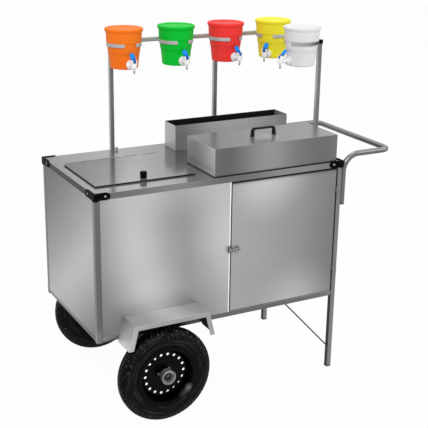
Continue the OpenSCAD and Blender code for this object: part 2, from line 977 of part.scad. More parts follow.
module serving_pan() {
    low_x = cover_x + pan_side + slack;
    high_x = cover_r - pan_side - slack;
    low_y = pan_front + slack;
    high_y = pan_back - slack;
    color("silver") place() difference() {
        union() {
            box([low_x, low_y, plate_h - pan_depth], [high_x, high_y, plate_h + sheet]);
            box(
                [low_x - pan_flange, low_y - pan_flange, plate_h],
                [high_x + pan_flange, high_y + pan_flange, plate_h + sheet]
            );
        }
        box(
            [low_x + sheet, low_y + sheet, plate_h - pan_depth + sheet],
            [high_x - sheet, high_y - sheet, plate_h + 2 * sheet]
        );
    }
}

module trough() {
    color("silver") place()
        open_box([trough_x, trough_end - trough_w, plate_h], [trough_r, trough_end, plate_h + trough_h]);
}

module cover_shell() {
    color("gainsboro") place() difference() {
        box([cover_x, cover_front_gap, plate_h], [cover_r, cover_end, plate_h + cover_h]);
        box(
            [cover_x + sheet, cover_front_gap + sheet, plate_h - eps],
            [cover_r - sheet, cover_end - sheet, plate_h + cover_h - sheet]
        );
    }
}

module cover_handle() {
    color("black") place() translate([grip_x, grip_y, plate_h + cover_h]) {
        for (x = [-grip_half, grip_half]) translate([x, 0, 0]) {
            cylinder(r = grip_r + 2.5, h = 3);
            cylinder(r = grip_r, h = grip_rise);
            translate([0, 0, grip_rise]) sphere(r = grip_r);
        }
        translate([-grip_half, 0, grip_rise]) rotate([0, 90, 0]) cylinder(r = grip_r, h = 2 * grip_half);
    }
}

// Hatch

// Every second knuckle of the long hinge, starting with knuckle number first
module lid_hinge_knuckles(first) {
    for (i = [first:2:lid_knuckles - 1])
        translate([hatch_x + lid_hinge_inset + i * knuckle_len + slack, lid_hinge_y, lid_z])
            rotate([0, 90, 0]) cylinder(r = lid_hinge_r, h = knuckle_len - 2 * slack);
}

// The strip of leaf behind or in front of every second knuckle
module lid_hinge_leaf(first, low_y, high_y, z) {
    for (i = [first:2:lid_knuckles - 1])
        translate([hatch_x + lid_hinge_inset + i * knuckle_len + slack, low_y, z])
            cube([knuckle_len - 2 * slack, high_y - low_y, leaf_t]);
}

module lid_hinge_pin(r) {
    translate([hatch_x + lid_hinge_inset + slack, lid_hinge_y, lid_z])
        rotate([0, 90, 0]) cylinder(r = r, h = lid_knuckles * knuckle_len - 2 * slack);
}

module hatch_lid() {
    color("gainsboro") place() difference() {
        union() {
            box([hatch_x, hatch_y, lid_z], [hatch_r, hatch_end, lid_z + leaf_t]);
            lid_hinge_knuckles(1);
            lid_hinge_leaf(1, hatch_end - eps, lid_hinge_y, lid_z);
        }
        lid_hinge_pin(lid_pin_r + run_fit);
    }
}

module hatch_seal() {
    seal_w = 12;
    inset = 3;
    color("black") place() difference() {
        box([hatch_x + inset, hatch_y + inset, plate_h], [hatch_r - inset, hatch_end - inset, lid_z]);
        box(
            [hatch_x + inset + seal_w, hatch_y + inset + seal_w, plate_h - eps],
            [hatch_r - inset - seal_w, hatch_end - inset - seal_w, lid_z + eps]
        );
    }
}

module hatch_knob() {
    color("black") place() translate([(hatch_x + hatch_r) / 2, knob_y, lid_z + leaf_t])
        rotate_extrude()
            polygon([
                [0, 0], [knob_r - 1.5, 0], [knob_r - 0.5, 2], [knob_r, knob_h - 3], [knob_r - 2, knob_h],
                [0, knob_h]
            ]);
}

// Door, hinges and latch

module door_panel() {
    color("gainsboro") place() difference() {
        box([door_x, door_face, door_low], [door_right, door_face + door_depth, door_top]);
        box(
            [door_x + sheet, door_face + sheet, door_low + sheet],
            [door_right - sheet, door_face + door_depth - sheet, door_top - sheet]
        );
        box(
            [door_x + tube, door_face + sheet, door_low + tube],
            [door_right - tube, door_face + door_depth + eps, door_top - tube]
        );
    }
}

// Origin on the door's hinge axis, at the middle of each hinge
module at_door_hinges() {
    for (z = hinge_levels) translate([hinge_axis_x, hinge_axis_y, z]) children();
}

module door_hinges() {
    color("silver") place() at_door_hinges() difference() {
        union() {
            translate([0, 0, slack]) cylinder(r = knuckle_r, h = hinge_len / 2 - slack);
            box([-hinge_offset, 0, slack], [0, leaf_t, hinge_len / 2]);
            box(
                [-hinge_offset, 0, slack],
                [leaf_t - hinge_offset, door_face - hinge_axis_y + leaf_reach, hinge_len / 2]
            );
        }
        cylinder(r = pin_r + run_fit, h = hinge_len);
    }
}

module hinge_leaves() {
    color("silver") place() {
        at_door_hinges() {
            translate([0, 0, -hinge_len / 2]) {
                cylinder(r = knuckle_r, h = hinge_len / 2);
                cylinder(r = pin_r, h = hinge_len);
                box(
                    [0, -hinge_axis_y - leaf_t, 0],
                    [plate_l - hinge_axis_x - 2, -hinge_axis_y, hinge_len / 2]
                );
                box([-leaf_t, 0, 0], [leaf_t, -hinge_axis_y, hinge_len / 2]);
            }
        }
        lid_hinge_knuckles(0);
        lid_hinge_pin(lid_pin_r);
        lid_hinge_leaf(0, lid_hinge_y, lid_hinge_y + lid_hinge_leaf, plate_h);
    }
}

module latch_guide() {
    block = 4;
    color("silver") place() translate([guide_x, 0, latch_z]) difference() {
        union() {
            box([0, door_face - leaf_t, -latch_plate_half], [guide_len, door_face, latch_plate_half]);
            for (x = [0, guide_len - block])
                box([x, latch_axis_y - bolt_r - 2, -bolt_r - 2], [x + block, door_face, bolt_r + 2]);
        }
        translate([-eps, latch_axis_y, 0])
            rotate([0, 90, 0]) cylinder(r = bolt_r + run_fit, h = guide_len * 2);
    }
}

module latch_bolt() {
    len = guide_len + door_gap + 5;
    color("gray") place() {
        translate([bolt_tip_x, latch_axis_y, latch_z]) rotate([0, 90, 0]) cylinder(r = bolt_r, h = len);
        translate([guide_x + guide_len / 2, latch_axis_y, latch_z]) rotate([125, 0, 0]) {
            cylinder(r = 2.2, h = latch_knob_stem);
            translate([0, 0, latch_knob_stem]) sphere(r = 4);
        }
    }
}

module latch_keeper() {
    keeper_len = 9;
    left = panel_right - keeper_len - 1;
    color("silver") place() difference() {
        union() {
            box(
                [left, latch_axis_y - bolt_r - 3, latch_z - bolt_r - 4],
                [left + keeper_len, panel_inset, latch_z + bolt_r + 4]
            );
            box(
                [left, panel_inset - leaf_t, latch_z - latch_plate_half],
                [left + keeper_len, panel_inset, latch_z + latch_plate_half]
            );
        }
        translate([left - eps, latch_axis_y, latch_z])
            rotate([0, 90, 0]) cylinder(r = bolt_r + 0.4, h = keeper_len + 2 * eps);
    }
}

// Pot rack

module pot_rack() {
    half = rack_tube / 2;
    color("silver") place() {
        for (x = post_xs)
            difference() {
                tube_bar([x - half, rack_y, plate_h], [x + half, rack_y + rack_tube, rail_z], 2);
                translate([x, rack_y + half, clamp_z]) clamp_hole();
            }
        tube_bar(
            [rack_x, side_post_y - half, side_socket_low],
            [rack_x + rack_tube, side_post_y + half, rail_z],
            2
        );
        tube_bar(
            [post_left_x - half, rack_y, rail_z],
            [rack_x + rack_tube, rack_y + rack_tube, rail_z + rack_tube],
            0
        );
        tube_bar([rack_x, rail_front, rail_z], [rack_x + rack_tube, rack_y, rail_z + rack_tube], 1);
    }
}

module clamp_hole() {
    rotate([0, 90, 0]) cylinder(r = m8_hole_r, h = 2 * tube);
}

// A square collar round the side post, its hole centred on the origin
module socket_collar() {
    hole = rack_tube / 2 + socket_fit;
    out = hole + socket_wall;
    difference() {
        box([-out, -out, 0], [out, out, socket_h]);
        box([-hole, -hole, -eps], [hole, hole, socket_h + eps]);
    }
}

module side_socket() {
    hole = rack_tube / 2 + socket_fit;
    out = hole + socket_wall;
    mid = rack_x + rack_tube / 2;
    floor_low = side_socket_low - socket_wall;
    difference() {
        union() {
            for (z = [side_socket_low, side_socket_top])
                translate([mid, side_post_y, z]) socket_collar();
            box([mid - out, side_post_y - out, floor_low], [mid + out, side_post_y + out, side_socket_low]);
            box(
                [plate_l - panel_inset, side_post_y - out, floor_low],
                [mid - hole, side_post_y + out, side_socket_top + socket_h]
            );
        }
        translate([mid, side_post_y, clamp_side_z]) clamp_hole();
    }
}

module post_sockets() {
    color("silver") place() {
        for (x = post_xs)
            translate([x - spigot / 2, rack_y + (rack_tube - spigot) / 2, plate_h])
                cube([spigot, spigot, socket_h]);
        side_socket();
    }
}

// A split strap ring whose gap faces +X, with its tab or tabs turned to the rails
module pot_ring(tab_turns) {
    gap_half = asin(ring_gap / 2 / ring_r);
    rotate([0, 0, gap_half]) rotate_extrude(angle = 360 - 2 * gap_half)
        translate([ring_r, 0]) square([ring_t, ring_h]);
    for (turn = tab_turns)
        rotate([0, 0, turn]) translate([ring_r + tab_bite, -ring_tab / 2, 1])
            cube([ring_t + ring_stand - tab_bite, ring_tab, ring_h - 2]);
}

module pot_rings() {
    color("silver") place()
        for (pot = POTS)
            translate([pot[1], pot[2], ring_z]) rotate([0, 0, pot[3]])
                pot_ring([for (way = pot[4]) way - pot[3]]);
}

// Pots

waist_r = wall_r(pot_waist_z);

// A pot's outer and inner half sections, as radius and height above the base
pot_outer = concat(
    [[0, 0]],
    [for (a = [-90:30:0]) [pot_base_r - base_round + base_round * cos(a), base_round + base_round * sin(a)]],
    [
        [waist_r - pot_waist / 2, pot_waist_z], [waist_r + pot_waist / 2, pot_waist_z + pot_waist],
        [low_r, low_h], [pot_step_r, low_h], [neck_r, pot_h - bead_h],
        [pot_rim_r, pot_h - bead_h + 1], [pot_rim_r, pot_h], [neck_r - pot_wall, pot_h]
    ]
);
pot_inner = [
    [0, pot_wall], [pot_base_r - base_round, pot_wall], [pot_base_r - pot_wall, base_round + pot_wall],
    [low_r - pot_wall, low_h + 1], [pot_step_r - pot_wall, low_h + 4], [neck_r - pot_wall, pot_h - bead_h],
    [neck_r - pot_wall, pot_h + eps], [0, pot_h + eps]
];

module pot_shape() {
    difference() {
        union() {
            difference() {
                rotate_extrude() polygon(concat(pot_outer, [[0, pot_h]]));
                rotate_extrude() polygon(pot_inner);
            }
            translate([pad_back, 0, tap_rise])
                rotate([0, 90, 0]) cylinder(r = pad_r, h = pad_face - pad_back);
        }
        translate([0, 0, tap_rise])
            rotate([0, 90, 0]) cylinder(r = tap_shank_r + nut_fit, h = pad_face + eps);
    }
}

module lid_shape() {
    low = pot_h - lid_skirt;
    top = pot_h + lid_t;
    inner = pot_rim_r + lid_gap;
    rotate_extrude()
        polygon([
            [0, pot_h - 3], [neck_r - pot_wall - 6, pot_h - 3], [neck_r - pot_wall - 4, pot_h],
            [inner, pot_h], [inner, low], [inner + 1.8, low], [inner + 1.8, top - 1],
            [inner + 0.8, top], [neck_r - pot_wall - 5, top], [neck_r - pot_wall - 7, top - 3], [0, top - 3]
        ]);
}

// Tap body and its nut inside the pot, pointing along +X
module tap_shape() {
    nut_t = 6;
    nut_r = 13;
    difference() {
        union() {
            translate([0, 0, tap_rise]) rotate([0, 90, 0]) {
                translate([0, 0, pad_back - nut_t - 2])
                    cylinder(r = tap_shank_r, h = pad_face - pad_back + nut_t + 2);
                translate([0, 0, pad_face]) cylinder(r = pad_r, h = tap_flange_t);
                translate([0, 0, pad_face]) cylinder(r = tap_body_r, h = spout_r - pad_face);
            }
            translate([spout_r, 0, tap_rise - tap_body_r])
                cylinder(r = tap_body_r + 0.5, h = tap_body_r + spout_head);
            translate([spout_r, 0, tap_rise - spout_tip_drop])
                cylinder(r1 = 5, r2 = 7, h = spout_tip_drop - tap_body_r + 1);
            for (side = [-1, 1]) tap_ear(side);
        }
        translate([spout_r, 0, tap_rise - spout_tip_drop - eps])
            cylinder(r = spout_bore_r, h = spout_tip_drop + eps);
        translate([pad_back - tube, 0, tap_rise])
            rotate([0, 90, 0]) cylinder(r = tap_bore_r, h = spout_r - pad_back + tube);
        translate([spout_r, tube, tap_rise + pivot_rise]) rotate([90, 0, 0])
            cylinder(r = lever_pin_r + run_fit, h = 2 * tube);
    }
    translate([pad_back - nut_t, 0, tap_rise]) rotate([0, 90, 0]) difference() {
        cylinder(r = nut_r, h = nut_t, $fn = 6);
        translate([0, 0, -eps]) cylinder(r = tap_shank_r + nut_fit, h = nut_t + 2 * eps);
    }
}

// One of the two ears that hold the lever's pin
module tap_ear(side) {
    near = side > 0 ? ear_w : -ear_w - ear_t;
    translate([spout_r, near, tap_rise]) {
        translate([0, ear_t, pivot_rise]) rotate([90, 0, 0]) cylinder(r = ear_r, h = ear_t);
        translate([-ear_r, 0, ear_low]) cube([2 * ear_r, ear_t, pivot_rise - ear_low]);
    }
}

// Paddle lever on its pin, leaning back over the pot
module lever_shape() {
    translate([spout_r, 0, tap_rise + pivot_rise]) {
        rotate([90, 0, 0]) {
            translate([0, 0, -ear_w + slack]) cylinder(r = lever_barrel_r, h = 2 * (ear_w - slack));
            translate([0, 0, -ear_w - ear_t]) cylinder(r = lever_pin_r, h = 2 * (ear_w + ear_t));
        }
        rotate([0, -lever_lean, 0]) {
            translate([(lever_neck_in - lever_t) / 2, lever_neck_in - ear_w, 0])
                cube([lever_t - lever_neck_in, 2 * (ear_w - lever_neck_in), lever_neck + eps]);
            translate([-lever_t / 2, 0, lever_neck]) rotate([90, 0, 90]) linear_extrude(lever_t) {
                translate([-lever_w / 2, 0]) square([lever_w, lever_len - lever_neck - lever_w / 2]);
                translate([0, lever_len - lever_neck - lever_w / 2]) circle(r = lever_w / 2);
            }
        }
    }
}

// Places a pot part: its axis on the pot's axis and its tap towards the pot's own side
module at_pot(i) {
    place() translate([POTS[i][1], POTS[i][2], pot_base_z]) rotate([0, 0, POTS[i][3]]) children();
}

module pot(i) { color(POT_COLOURS[i]) at_pot(i) pot_shape(); }
module lid(i) { color(POT_COLOURS[i]) at_pot(i) lid_shape(); }
module tap(i) { color("white") at_pot(i) tap_shape(); }
module lever(i) { color("dodgerblue") at_pot(i) lever_shape(); }

frame();
end_panels();
front_panel();
back_panel();
floor_panel();
divider_panel();
top_plate();
corner_caps();
cap_screws();
tube_plugs();
leg_braces();
axle();
axle_hangers();
fenders();
hex_bolts();
push_handle();
ice_tub();
serving_pan();
trough();
pot_rack();
post_sockets();
pot_rings();
latch_keeper();
hinge_leaves();
door_panel();
door_hinges();
latch_guide();
latch_bolt();
hatch_lid();
hatch_seal();
hatch_knob();
cover_shell();
cover_handle();
front_tyre();
front_rim();
front_hub();
rear_tyre();
rear_rim();
rear_hub();
for (i = [0:len(POTS) - 1]) {
    pot(i);
    lid(i);
    tap(i);
    lever(i);
}
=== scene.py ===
# %% [markdown]
# # A stainless street food push cart
# This lesson dresses a cart whose exact shape is already fixed by a CAD frame: a steel cabinet on two
# wheels, with a hatch, a lift-off cover, a trough, a push handle and five coloured pots on a rack.
# We load that frame, keep its box, and then give every piece its real edges and its real finish.

import math

import bmesh
import bpy
from mathutils import Matrix, Vector


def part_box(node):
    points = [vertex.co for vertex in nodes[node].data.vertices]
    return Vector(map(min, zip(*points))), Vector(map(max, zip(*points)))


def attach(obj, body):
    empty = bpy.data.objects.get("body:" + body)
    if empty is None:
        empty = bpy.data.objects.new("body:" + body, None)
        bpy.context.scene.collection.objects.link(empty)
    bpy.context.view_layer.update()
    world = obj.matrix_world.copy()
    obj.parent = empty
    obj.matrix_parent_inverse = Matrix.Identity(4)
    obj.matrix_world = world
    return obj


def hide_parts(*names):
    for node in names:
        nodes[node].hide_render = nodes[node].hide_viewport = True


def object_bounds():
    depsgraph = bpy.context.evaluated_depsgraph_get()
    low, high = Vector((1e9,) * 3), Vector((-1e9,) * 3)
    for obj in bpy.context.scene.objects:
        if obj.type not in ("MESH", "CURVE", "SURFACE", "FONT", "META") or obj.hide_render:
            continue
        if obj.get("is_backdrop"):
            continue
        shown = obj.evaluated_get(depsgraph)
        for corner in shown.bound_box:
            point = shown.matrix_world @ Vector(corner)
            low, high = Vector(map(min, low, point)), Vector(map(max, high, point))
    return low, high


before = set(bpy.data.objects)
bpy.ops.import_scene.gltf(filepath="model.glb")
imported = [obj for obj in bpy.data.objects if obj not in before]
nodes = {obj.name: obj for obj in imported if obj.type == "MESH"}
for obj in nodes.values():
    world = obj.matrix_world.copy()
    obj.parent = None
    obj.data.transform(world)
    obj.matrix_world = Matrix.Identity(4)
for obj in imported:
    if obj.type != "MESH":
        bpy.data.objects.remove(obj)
cad_box = [list(corner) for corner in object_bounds()]
scene = bpy.context.scene
scene.view_settings.view_transform = "Standard"
print("CAD box in metres:", [[round(n, 4) for n in corner] for corner in cad_box])

# %% [markdown]
# ## Workshop millimetres
# A cart builder measures from the front left corner of the counter, in millimetres. Blender works in
# metres from the middle of the floor. One small function changes the first into the second, so that
# every number below can be read like a workshop drawing.

# %% Workshop millimetres
plate_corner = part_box("top_plate")[0]


def at(x, y, z):
    """A point in millimetres from the counter's front left corner, z up from the floor."""
    return Vector((plate_corner.x + x / 1000, plate_corner.y + y / 1000, z / 1000))


print("counter corner", plate_corner[:])

# %% [markdown]
# ## Camera
# The cart was photographed from its front left, a little above the counter. The view was worked out from
# the straight edges of the cabinet. A camera can be aimed at an empty object, but three known
# directions (right, up and back) give the same view exactly, so they go straight into its matrix.

# %% Camera
lens = bpy.data.cameras.new("photo_camera")
lens.sensor_width = 36
lens.lens = 83.33
camera = bpy.data.objects.new("photo_camera", lens)
eye = Vector((-1.75208, -3.19933, 1.85016))
right, up = Vector((0.88203, -0.47094, 0.01572)), Vector((0.13709, 0.28839, 0.94765))
aim = Matrix((right, up, right.cross(up))).transposed().to_4x4()
camera.matrix_world = Matrix.Translation(eye) @ aim
scene.collection.objects.link(camera)
scene.camera = camera
print("camera lens", lens.lens, "mm")

# %% [markdown]
# ## Shader nodes in one line
# A finish is a little network of nodes. Making each node takes several lines, so one helper makes a node,
# sets its options, and plugs a number, a colour or a wire into each socket. The others make the sums that
# come up again and again. Display greys and colours are easier to judge than linear light, so two more
# helpers change 0 to 255 into Blender's numbers.

# %% Node helpers


def add(tree, kind, sockets=(), **options):
    """One shader node with its options set and its sockets filled."""
    made = tree.nodes.new("ShaderNode" + kind)
    for option, value in options.items():
        setattr(made, option, value)
    for socket, value in dict(sockets).items():
        if isinstance(value, bpy.types.NodeSocket):
            tree.links.new(value, made.inputs[socket])
        else:
            made.inputs[socket].default_value = value
    return made


def sum_of(tree, operation, first, second, third=0.0):
    """Sums with wires: adds, multiplies or compares up to three of them."""
    return add(tree, "Math", {0: first, 1: second, 2: third}, operation=operation).outputs[0]


def between(tree, value, low, high, to_low, to_high, **options):
    """Spreads a wire that runs from low to high over a new range."""
    sockets = {"Value": value, "From Min": low, "From Max": high, "To Min": to_low, "To Max": to_high}
    return add(tree, "MapRange", sockets, **options).outputs[0]


def noise(tree, place, scale, detail):
    """Clouds, or lines where the place is stretched, with values round one half."""
    return add(tree, "TexNoise", {"Vector": place, "Scale": scale, "Detail": detail}).outputs["Fac"]


def wander(tree, cloud, low, high):
    """Spreads the middle of a noise, where nearly all of it lies, over a new range."""
    return between(tree, cloud, 0.3, 0.7, low, high)


def near_to(tree, place, centre, radius, inside, outside):
    """Eases from one value at a point to another at a distance in millimetres from it."""
    away = add(tree, "VectorMath", {0: place, 1: at(*centre)}, operation="DISTANCE").outputs["Value"]
    return between(tree, away, 0, radius / 1000, inside, outside, interpolation_type="SMOOTHSTEP")


def grey(level):
    """Linear light for a display grey of 0 to 255."""
    share = level / 255
    return share / 12.92 if share <= 0.04045 else ((share + 0.055) / 1.055) ** 2.4


def tint(r, g, b):
    """Linear light for a display colour, each part 0 to 255."""
    return (grey(r), grey(g), grey(b), 1)


def blank(name):
    """A new finish, its node tree and its shader."""
    finish = bpy.data.materials.new(name)
    finish.use_nodes = True
    return finish, finish.node_tree, finish.node_tree.nodes["Principled BSDF"]


print("a display grey of 128 is", round(grey(128), 3), "in linear light")

# %% [markdown]
# ## Studio
# The cart stands on a white floor in even light with hardly any shadow. More light would burn out the
# pale steel, so the white comes from the floor and the world only where the camera or a mirror looks at
# them; the light that falls on the cart stays at a plain level. The floor keeps a faint shadow.

# %% Studio


def looked_at(tree):
    """1 for rays from the camera, mirrors and glass, 0 for rays that carry light onto things."""
    ray = add(tree, "LightPath").outputs
    seen = sum_of(tree, "MAXIMUM", ray["Is Camera Ray"], ray["Is Glossy Ray"])
    return sum_of(tree, "MAXIMUM", seen, ray["Is Transmission Ray"])


AMBIENT, FLOOR_GLOW, FLOOR_REACH = 0.52, 0.97, 40
world = bpy.data.worlds.new("white_studio")
world.use_nodes = True
strength = between(world.node_tree, looked_at(world.node_tree), 0, 1, AMBIENT, 1)
sky = world.node_tree.nodes["Background"]
sky.inputs["Color"].default_value = (1, 1, 1, 1)
world.node_tree.links.new(strength, sky.inputs["Strength"])
scene.world = world

floor_white, tree, shader = blank("floor_white")
paper = add(tree, "TexNoise", {"Scale": 30.0, "Detail": 3.0}).outputs["Fac"]
tree.links.new(wander(tree, paper, 0.80, 0.84), shader.inputs["Base Color"])
shader.inputs["Roughness"].default_value = 0.9
glow = add(tree, "Emission", {"Color": (1, 1, 1, 1), "Strength": 1.0})
share = sum_of(tree, "MULTIPLY", looked_at(tree), FLOOR_GLOW)
both = add(tree, "MixShader", {0: share, 1: shader.outputs[0], 2: glow.outputs[0]})
tree.links.new(both.outputs[0], tree.nodes["Material Output"].inputs["Surface"])
floor_white.cycles.emission_sampling = "NONE"

floor_mesh = bpy.data.meshes.new("studio_floor")
corners = [(a * FLOOR_REACH, b * FLOOR_REACH, 0) for a, b in ((-1, -1), (1, -1), (1, 1), (-1, 1))]
floor_mesh.from_pydata(corners, [], [(0, 1, 2, 3)])
floor_mesh.materials.append(floor_white)
floor = bpy.data.objects.new("studio_floor", floor_mesh)
scene.collection.objects.link(floor)
floor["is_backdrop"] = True


def soft_lamp(name, place, aim, size, watts):
    """A round area lamp that looks at a point."""
    data = bpy.data.lights.new(name, "AREA")
    data.shape, data.size, data.energy = "DISK", size, watts
    lamp = bpy.data.objects.new(name, data)
    lamp.location = place
    lamp.rotation_euler = (Vector(aim) - Vector(place)).to_track_quat("-Z", "Y").to_euler()
    scene.collection.objects.link(lamp)


soft_lamp("key_lamp", (-2.2, -2.6, 4.0), (0, 0, 0.7), 2.4, 90)
soft_lamp("fill_lamp", (3.2, -2.4, 2.2), (0, 0, 0.7), 2.6, 35)
soft_lamp("back_lamp", (0.4, 1.4, 4.6), (0, 0, 0.8), 2.4, 40)
print("studio: white floor, ambient", AMBIENT, "and three soft lamps")

# %% [markdown]
# ## Brushed stainless sheet
# Sheet steel has a fine one-way grain and a soft sheen that drifts across each panel. A mirror alone
# would look flat in a white studio, so the sheen is painted into the colour: a grey that changes along a
# slanted line, with its own line for faces that look forwards, sideways and up, which paints light and
# shade onto tops, sides and undersides. The squares of the surface normal add up to one, so they share out
# the three greys and blend them round a fold.

# %% Brushed stainless sheet


def sheen(tree, place, spec):
    """A level, or (slant, stops): grey levels at millimetres along a slanted line."""
    if not isinstance(spec, tuple):
        return grey(spec)
    slant, stops = Vector(spec[0]), spec[1]
    start, end = stops[0][0], stops[-1][0]
    zero = slant.dot(at(0, 0, 0))
    along = add(tree, "VectorMath", {0: place, 1: slant}, operation="DOT_PRODUCT").outputs["Value"]
    share = between(tree, along, zero + start / 1000, zero + end / 1000, 0, 1)
    ramp = add(tree, "ValToRGB", {0: share})
    ramp.color_ramp.interpolation = "B_SPLINE"
    marks = ramp.color_ramp.elements
    while len(marks) < len(stops):
        marks.new(0.5)
    for mark, (where, level) in zip(marks, stops):
        mark.position = (where - start) / (end - start)
        mark.color = (grey(level),) * 3 + (1,)
    return ramp.outputs["Color"]


STEEL_GLOSS, STEEL_EDGE = 0.25, (0.62, 0.62, 0.63, 1)
SEAM = 0.001


def brushed(name, rough, front=150, end=150, top=160, under=None, grain=(5, 900, 900), metal=0.7,
            fade=None, light_and_shade_patches=(), light_and_shadow_lines=()):
    """Stainless steel with a painted sheen for each way a face looks, grain lines and faint clouds.

    fade is a painted sheen that dims all faces, under is the painted shade of faces that look down, the
    patches are places of painted light and painted shade (point, radius, gain), and the lines are upright
    lines of painted highlight and painted shadow (left, right, level).
    """
    finish, tree, shader = blank(name)
    surface = add(tree, "TexCoord").outputs
    place, facing = surface["Object"], surface["Normal"]
    squares = add(tree, "VectorMath", {0: facing, 1: facing}, operation="MULTIPLY").outputs[0]
    shares = add(tree, "SeparateXYZ", {0: squares}).outputs
    up_tone = sheen(tree, place, top)
    # Faces that look down take the under grey, a painted shade.
    if under is not None:
        rise = between(tree, add(tree, "SeparateXYZ", {0: facing}).outputs["Z"], -0.4, 0.4, 0, 1)
        up_tone = add(tree, "Mix", {"Factor": rise, "A": grey(under), "B": up_tone}).outputs[0]
    tone = sum_of(tree, "MULTIPLY", shares["Z"], up_tone)
    for axis, spec in (("X", end), ("Y", front)):
        tone = sum_of(tree, "MULTIPLY_ADD", shares[axis], sheen(tree, place, spec), tone)
    # A painted sheen that dims the faces along a line.
    if fade:
        tone = sum_of(tree, "MULTIPLY", tone, sheen(tree, place, fade))
    # Patches of painted light (gain above 1) and painted shade (gain below 1).
    for centre, radius, gain in light_and_shade_patches:
        tone = sum_of(tree, "MULTIPLY", tone, near_to(tree, place, centre, radius, gain, 1))
    # Upright lines of painted highlight and painted shadow.
    for left, right, level in light_and_shadow_lines:
        across = add(tree, "SeparateXYZ", {0: place}).outputs["X"]
        near, far = at(left, 0, 0).x, at(right, 0, 0).x
        share = between(tree, across, near, near + SEAM, 0, 1)
        share = sum_of(tree, "MULTIPLY", share, between(tree, across, far - SEAM, far, 1, 0))
        tone = add(tree, "Mix", {"Factor": share, "A": tone, "B": grey(level)}).outputs[0]
    cloud = noise(tree, place, 3.0, 2.0)
    lines = noise(tree, add(tree, "Mapping", {"Vector": place, "Scale": grain}).outputs[0], 1.0, 4.0)
    tone = sum_of(tree, "MULTIPLY", tone, wander(tree, cloud, 0.95, 1.05))
    tone = sum_of(tree, "MULTIPLY", tone, wander(tree, lines, 0.985, 1.015))
    tree.links.new(tone, shader.inputs["Base Color"])
    tree.links.new(wander(tree, lines, rough - 0.03, rough + 0.03), shader.inputs["Roughness"])
    bump = add(tree, "Bump", {"Height": lines, "Strength": 0.012, "Distance": 0.0003})
    tree.links.new(bump.outputs[0], shader.inputs["Normal"])
    shader.inputs["Metallic"].default_value = metal
    shader.inputs["Specular IOR Level"].default_value = STEEL_GLOSS
    shader.inputs["Specular Tint"].default_value = STEEL_EDGE
    return finish


# Painted sheen across the front panel, painted shade towards its bottom, a painted highlight along its
# right edge and two patches of painted light.
front_sheet = brushed(
    "front_sheet", 0.36, metal=0.5, light_and_shadow_lines=((518, 524, 255),),
    front=((1, 0, 0.12), (
        (60, 138), (124, 164), (194, 198), (264, 200), (344, 168),
        (424, 146), (504, 182), (574, 200), (660, 200))),
    fade=((0, 0, 1), (
        (320, 226), (420, 236), (495, 246), (575, 255), (650, 255), (730, 247), (835, 245))),
    light_and_shade_patches=(((265, 1, 405), 210, 1.38), ((290, 1, 850), 170, 1.35)))
# Painted sheen across the end panels; the colour is darker along their bottom 20 mm.
end_sheet = brushed(
    "end_sheet", 0.36,
    end=((0, 0.77, 1), (
        (340, 120), (430, 150), (511, 176), (591, 193), (671, 206),
        (751, 190), (831, 176), (985, 150), (1162, 114))),
    fade=((0, 0, 1), ((312, 185), (326, 185), (332, 255), (340, 255), (835, 255))))
# Painted sheen across the door, two patches of painted light, and painted shadow lines along its left,
# right and top edges.
door_sheet = brushed(
    "door_sheet", 0.36, end=120, light_and_shadow_lines=((524, 527, 70), (972.5, 977, 60)),
    front=((1, 0, 0), (
        (525, 168), (600, 167), (670, 163), (740, 157), (810, 150), (880, 139), (976, 124))),
    fade=((0, 0, 1), ((336, 255), (810, 255), (824, 255), (829, 60), (832, 40))),
    light_and_shade_patches=(((680, -2, 850), 210, 1.62), ((830, -2, 310), 220, 1.6)))
inner_sheet = brushed("inner_sheet", 0.36, front=150, end=140, top=150)
print("sheet finishes ready")

# %% [markdown]
# ## From points to a finished piece
# Every new piece below is a list of points and faces, or a mesh that is being edited. Two helpers turn
# them into objects, and a third gives a piece its finish, smooth shading up to a fold and a body to move
# with, and hides the CAD node it stands for. CAD nodes that are right as they are get a finish and round
# edges.

# %% Piece helpers


def finished(name, work):
    """An object from a mesh that was being edited."""
    mesh = bpy.data.meshes.new(name)
    work.to_mesh(mesh)
    work.free()
    made = bpy.data.objects.new(name, mesh)
    scene.collection.objects.link(made)
    return made


def shape(name, points, faces):
    """An object from a list of points and a list of faces."""
    work = bmesh.new()
    corners = [work.verts.new(point) for point in points]
    for face in faces:
        work.faces.new([corners[i] for i in face])
    bmesh.ops.recalc_face_normals(work, faces=work.faces)
    return finished(name, work)


def fit(made, body, finishes, stands_for, fold=35):
    """Dresses a piece, lets it ride on its body and hides the CAD node it stands for."""
    for finish in finishes:
        made.data.materials.append(finish)
    made.data.polygons.foreach_set("use_smooth", [True] * len(made.data.polygons))
    made.data.set_sharp_from_angle(angle=math.radians(fold))
    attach(made, body)
    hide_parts(stands_for)
    print(made.name, len(made.data.polygons), "faces on", body)


def dress(finish, *names):
    """Gives CAD nodes that already have the right shape their finish."""
    for name in names:
        nodes[name].data.materials.clear()
        nodes[name].data.materials.append(finish)


SAME_PLACE, SAME_PLANE, SHARP = 0.00002, math.radians(0.5), math.radians(40)


def soften(width, *names):
    """Rounds a CAD node's sharp edges with modifiers; its own mesh stays as it is."""
    for name in names:
        weld = nodes[name].modifiers.new("join_corners", "WELD")
        weld.merge_threshold = SAME_PLACE
        flat = nodes[name].modifiers.new("join_flats", "DECIMATE")
        flat.decimate_type, flat.angle_limit = "DISSOLVE", SAME_PLANE
        edge = nodes[name].modifiers.new("round_edges", "BEVEL")
        edge.width, edge.segments = width / 1000, 2
        edge.limit_method, edge.angle_limit = "ANGLE", SHARP
        edge.harden_normals = True


print("helpers ready")

# %% [markdown]
# ## Square tube
# The frame and the pot rack are welded from square tube. Drawn tube is never sharp: its corners have a
# radius of about twice the wall. A cube with a Bevel modifier would do for one bar, but a rounded ring
# of points, stretched from one end to the other, makes all bars in one mesh with open ends.

# %% Square tube
WALL, BEND_STEPS, FRAME_BEND, RACK_BEND = 1.5, 4, 2.6, 2.2


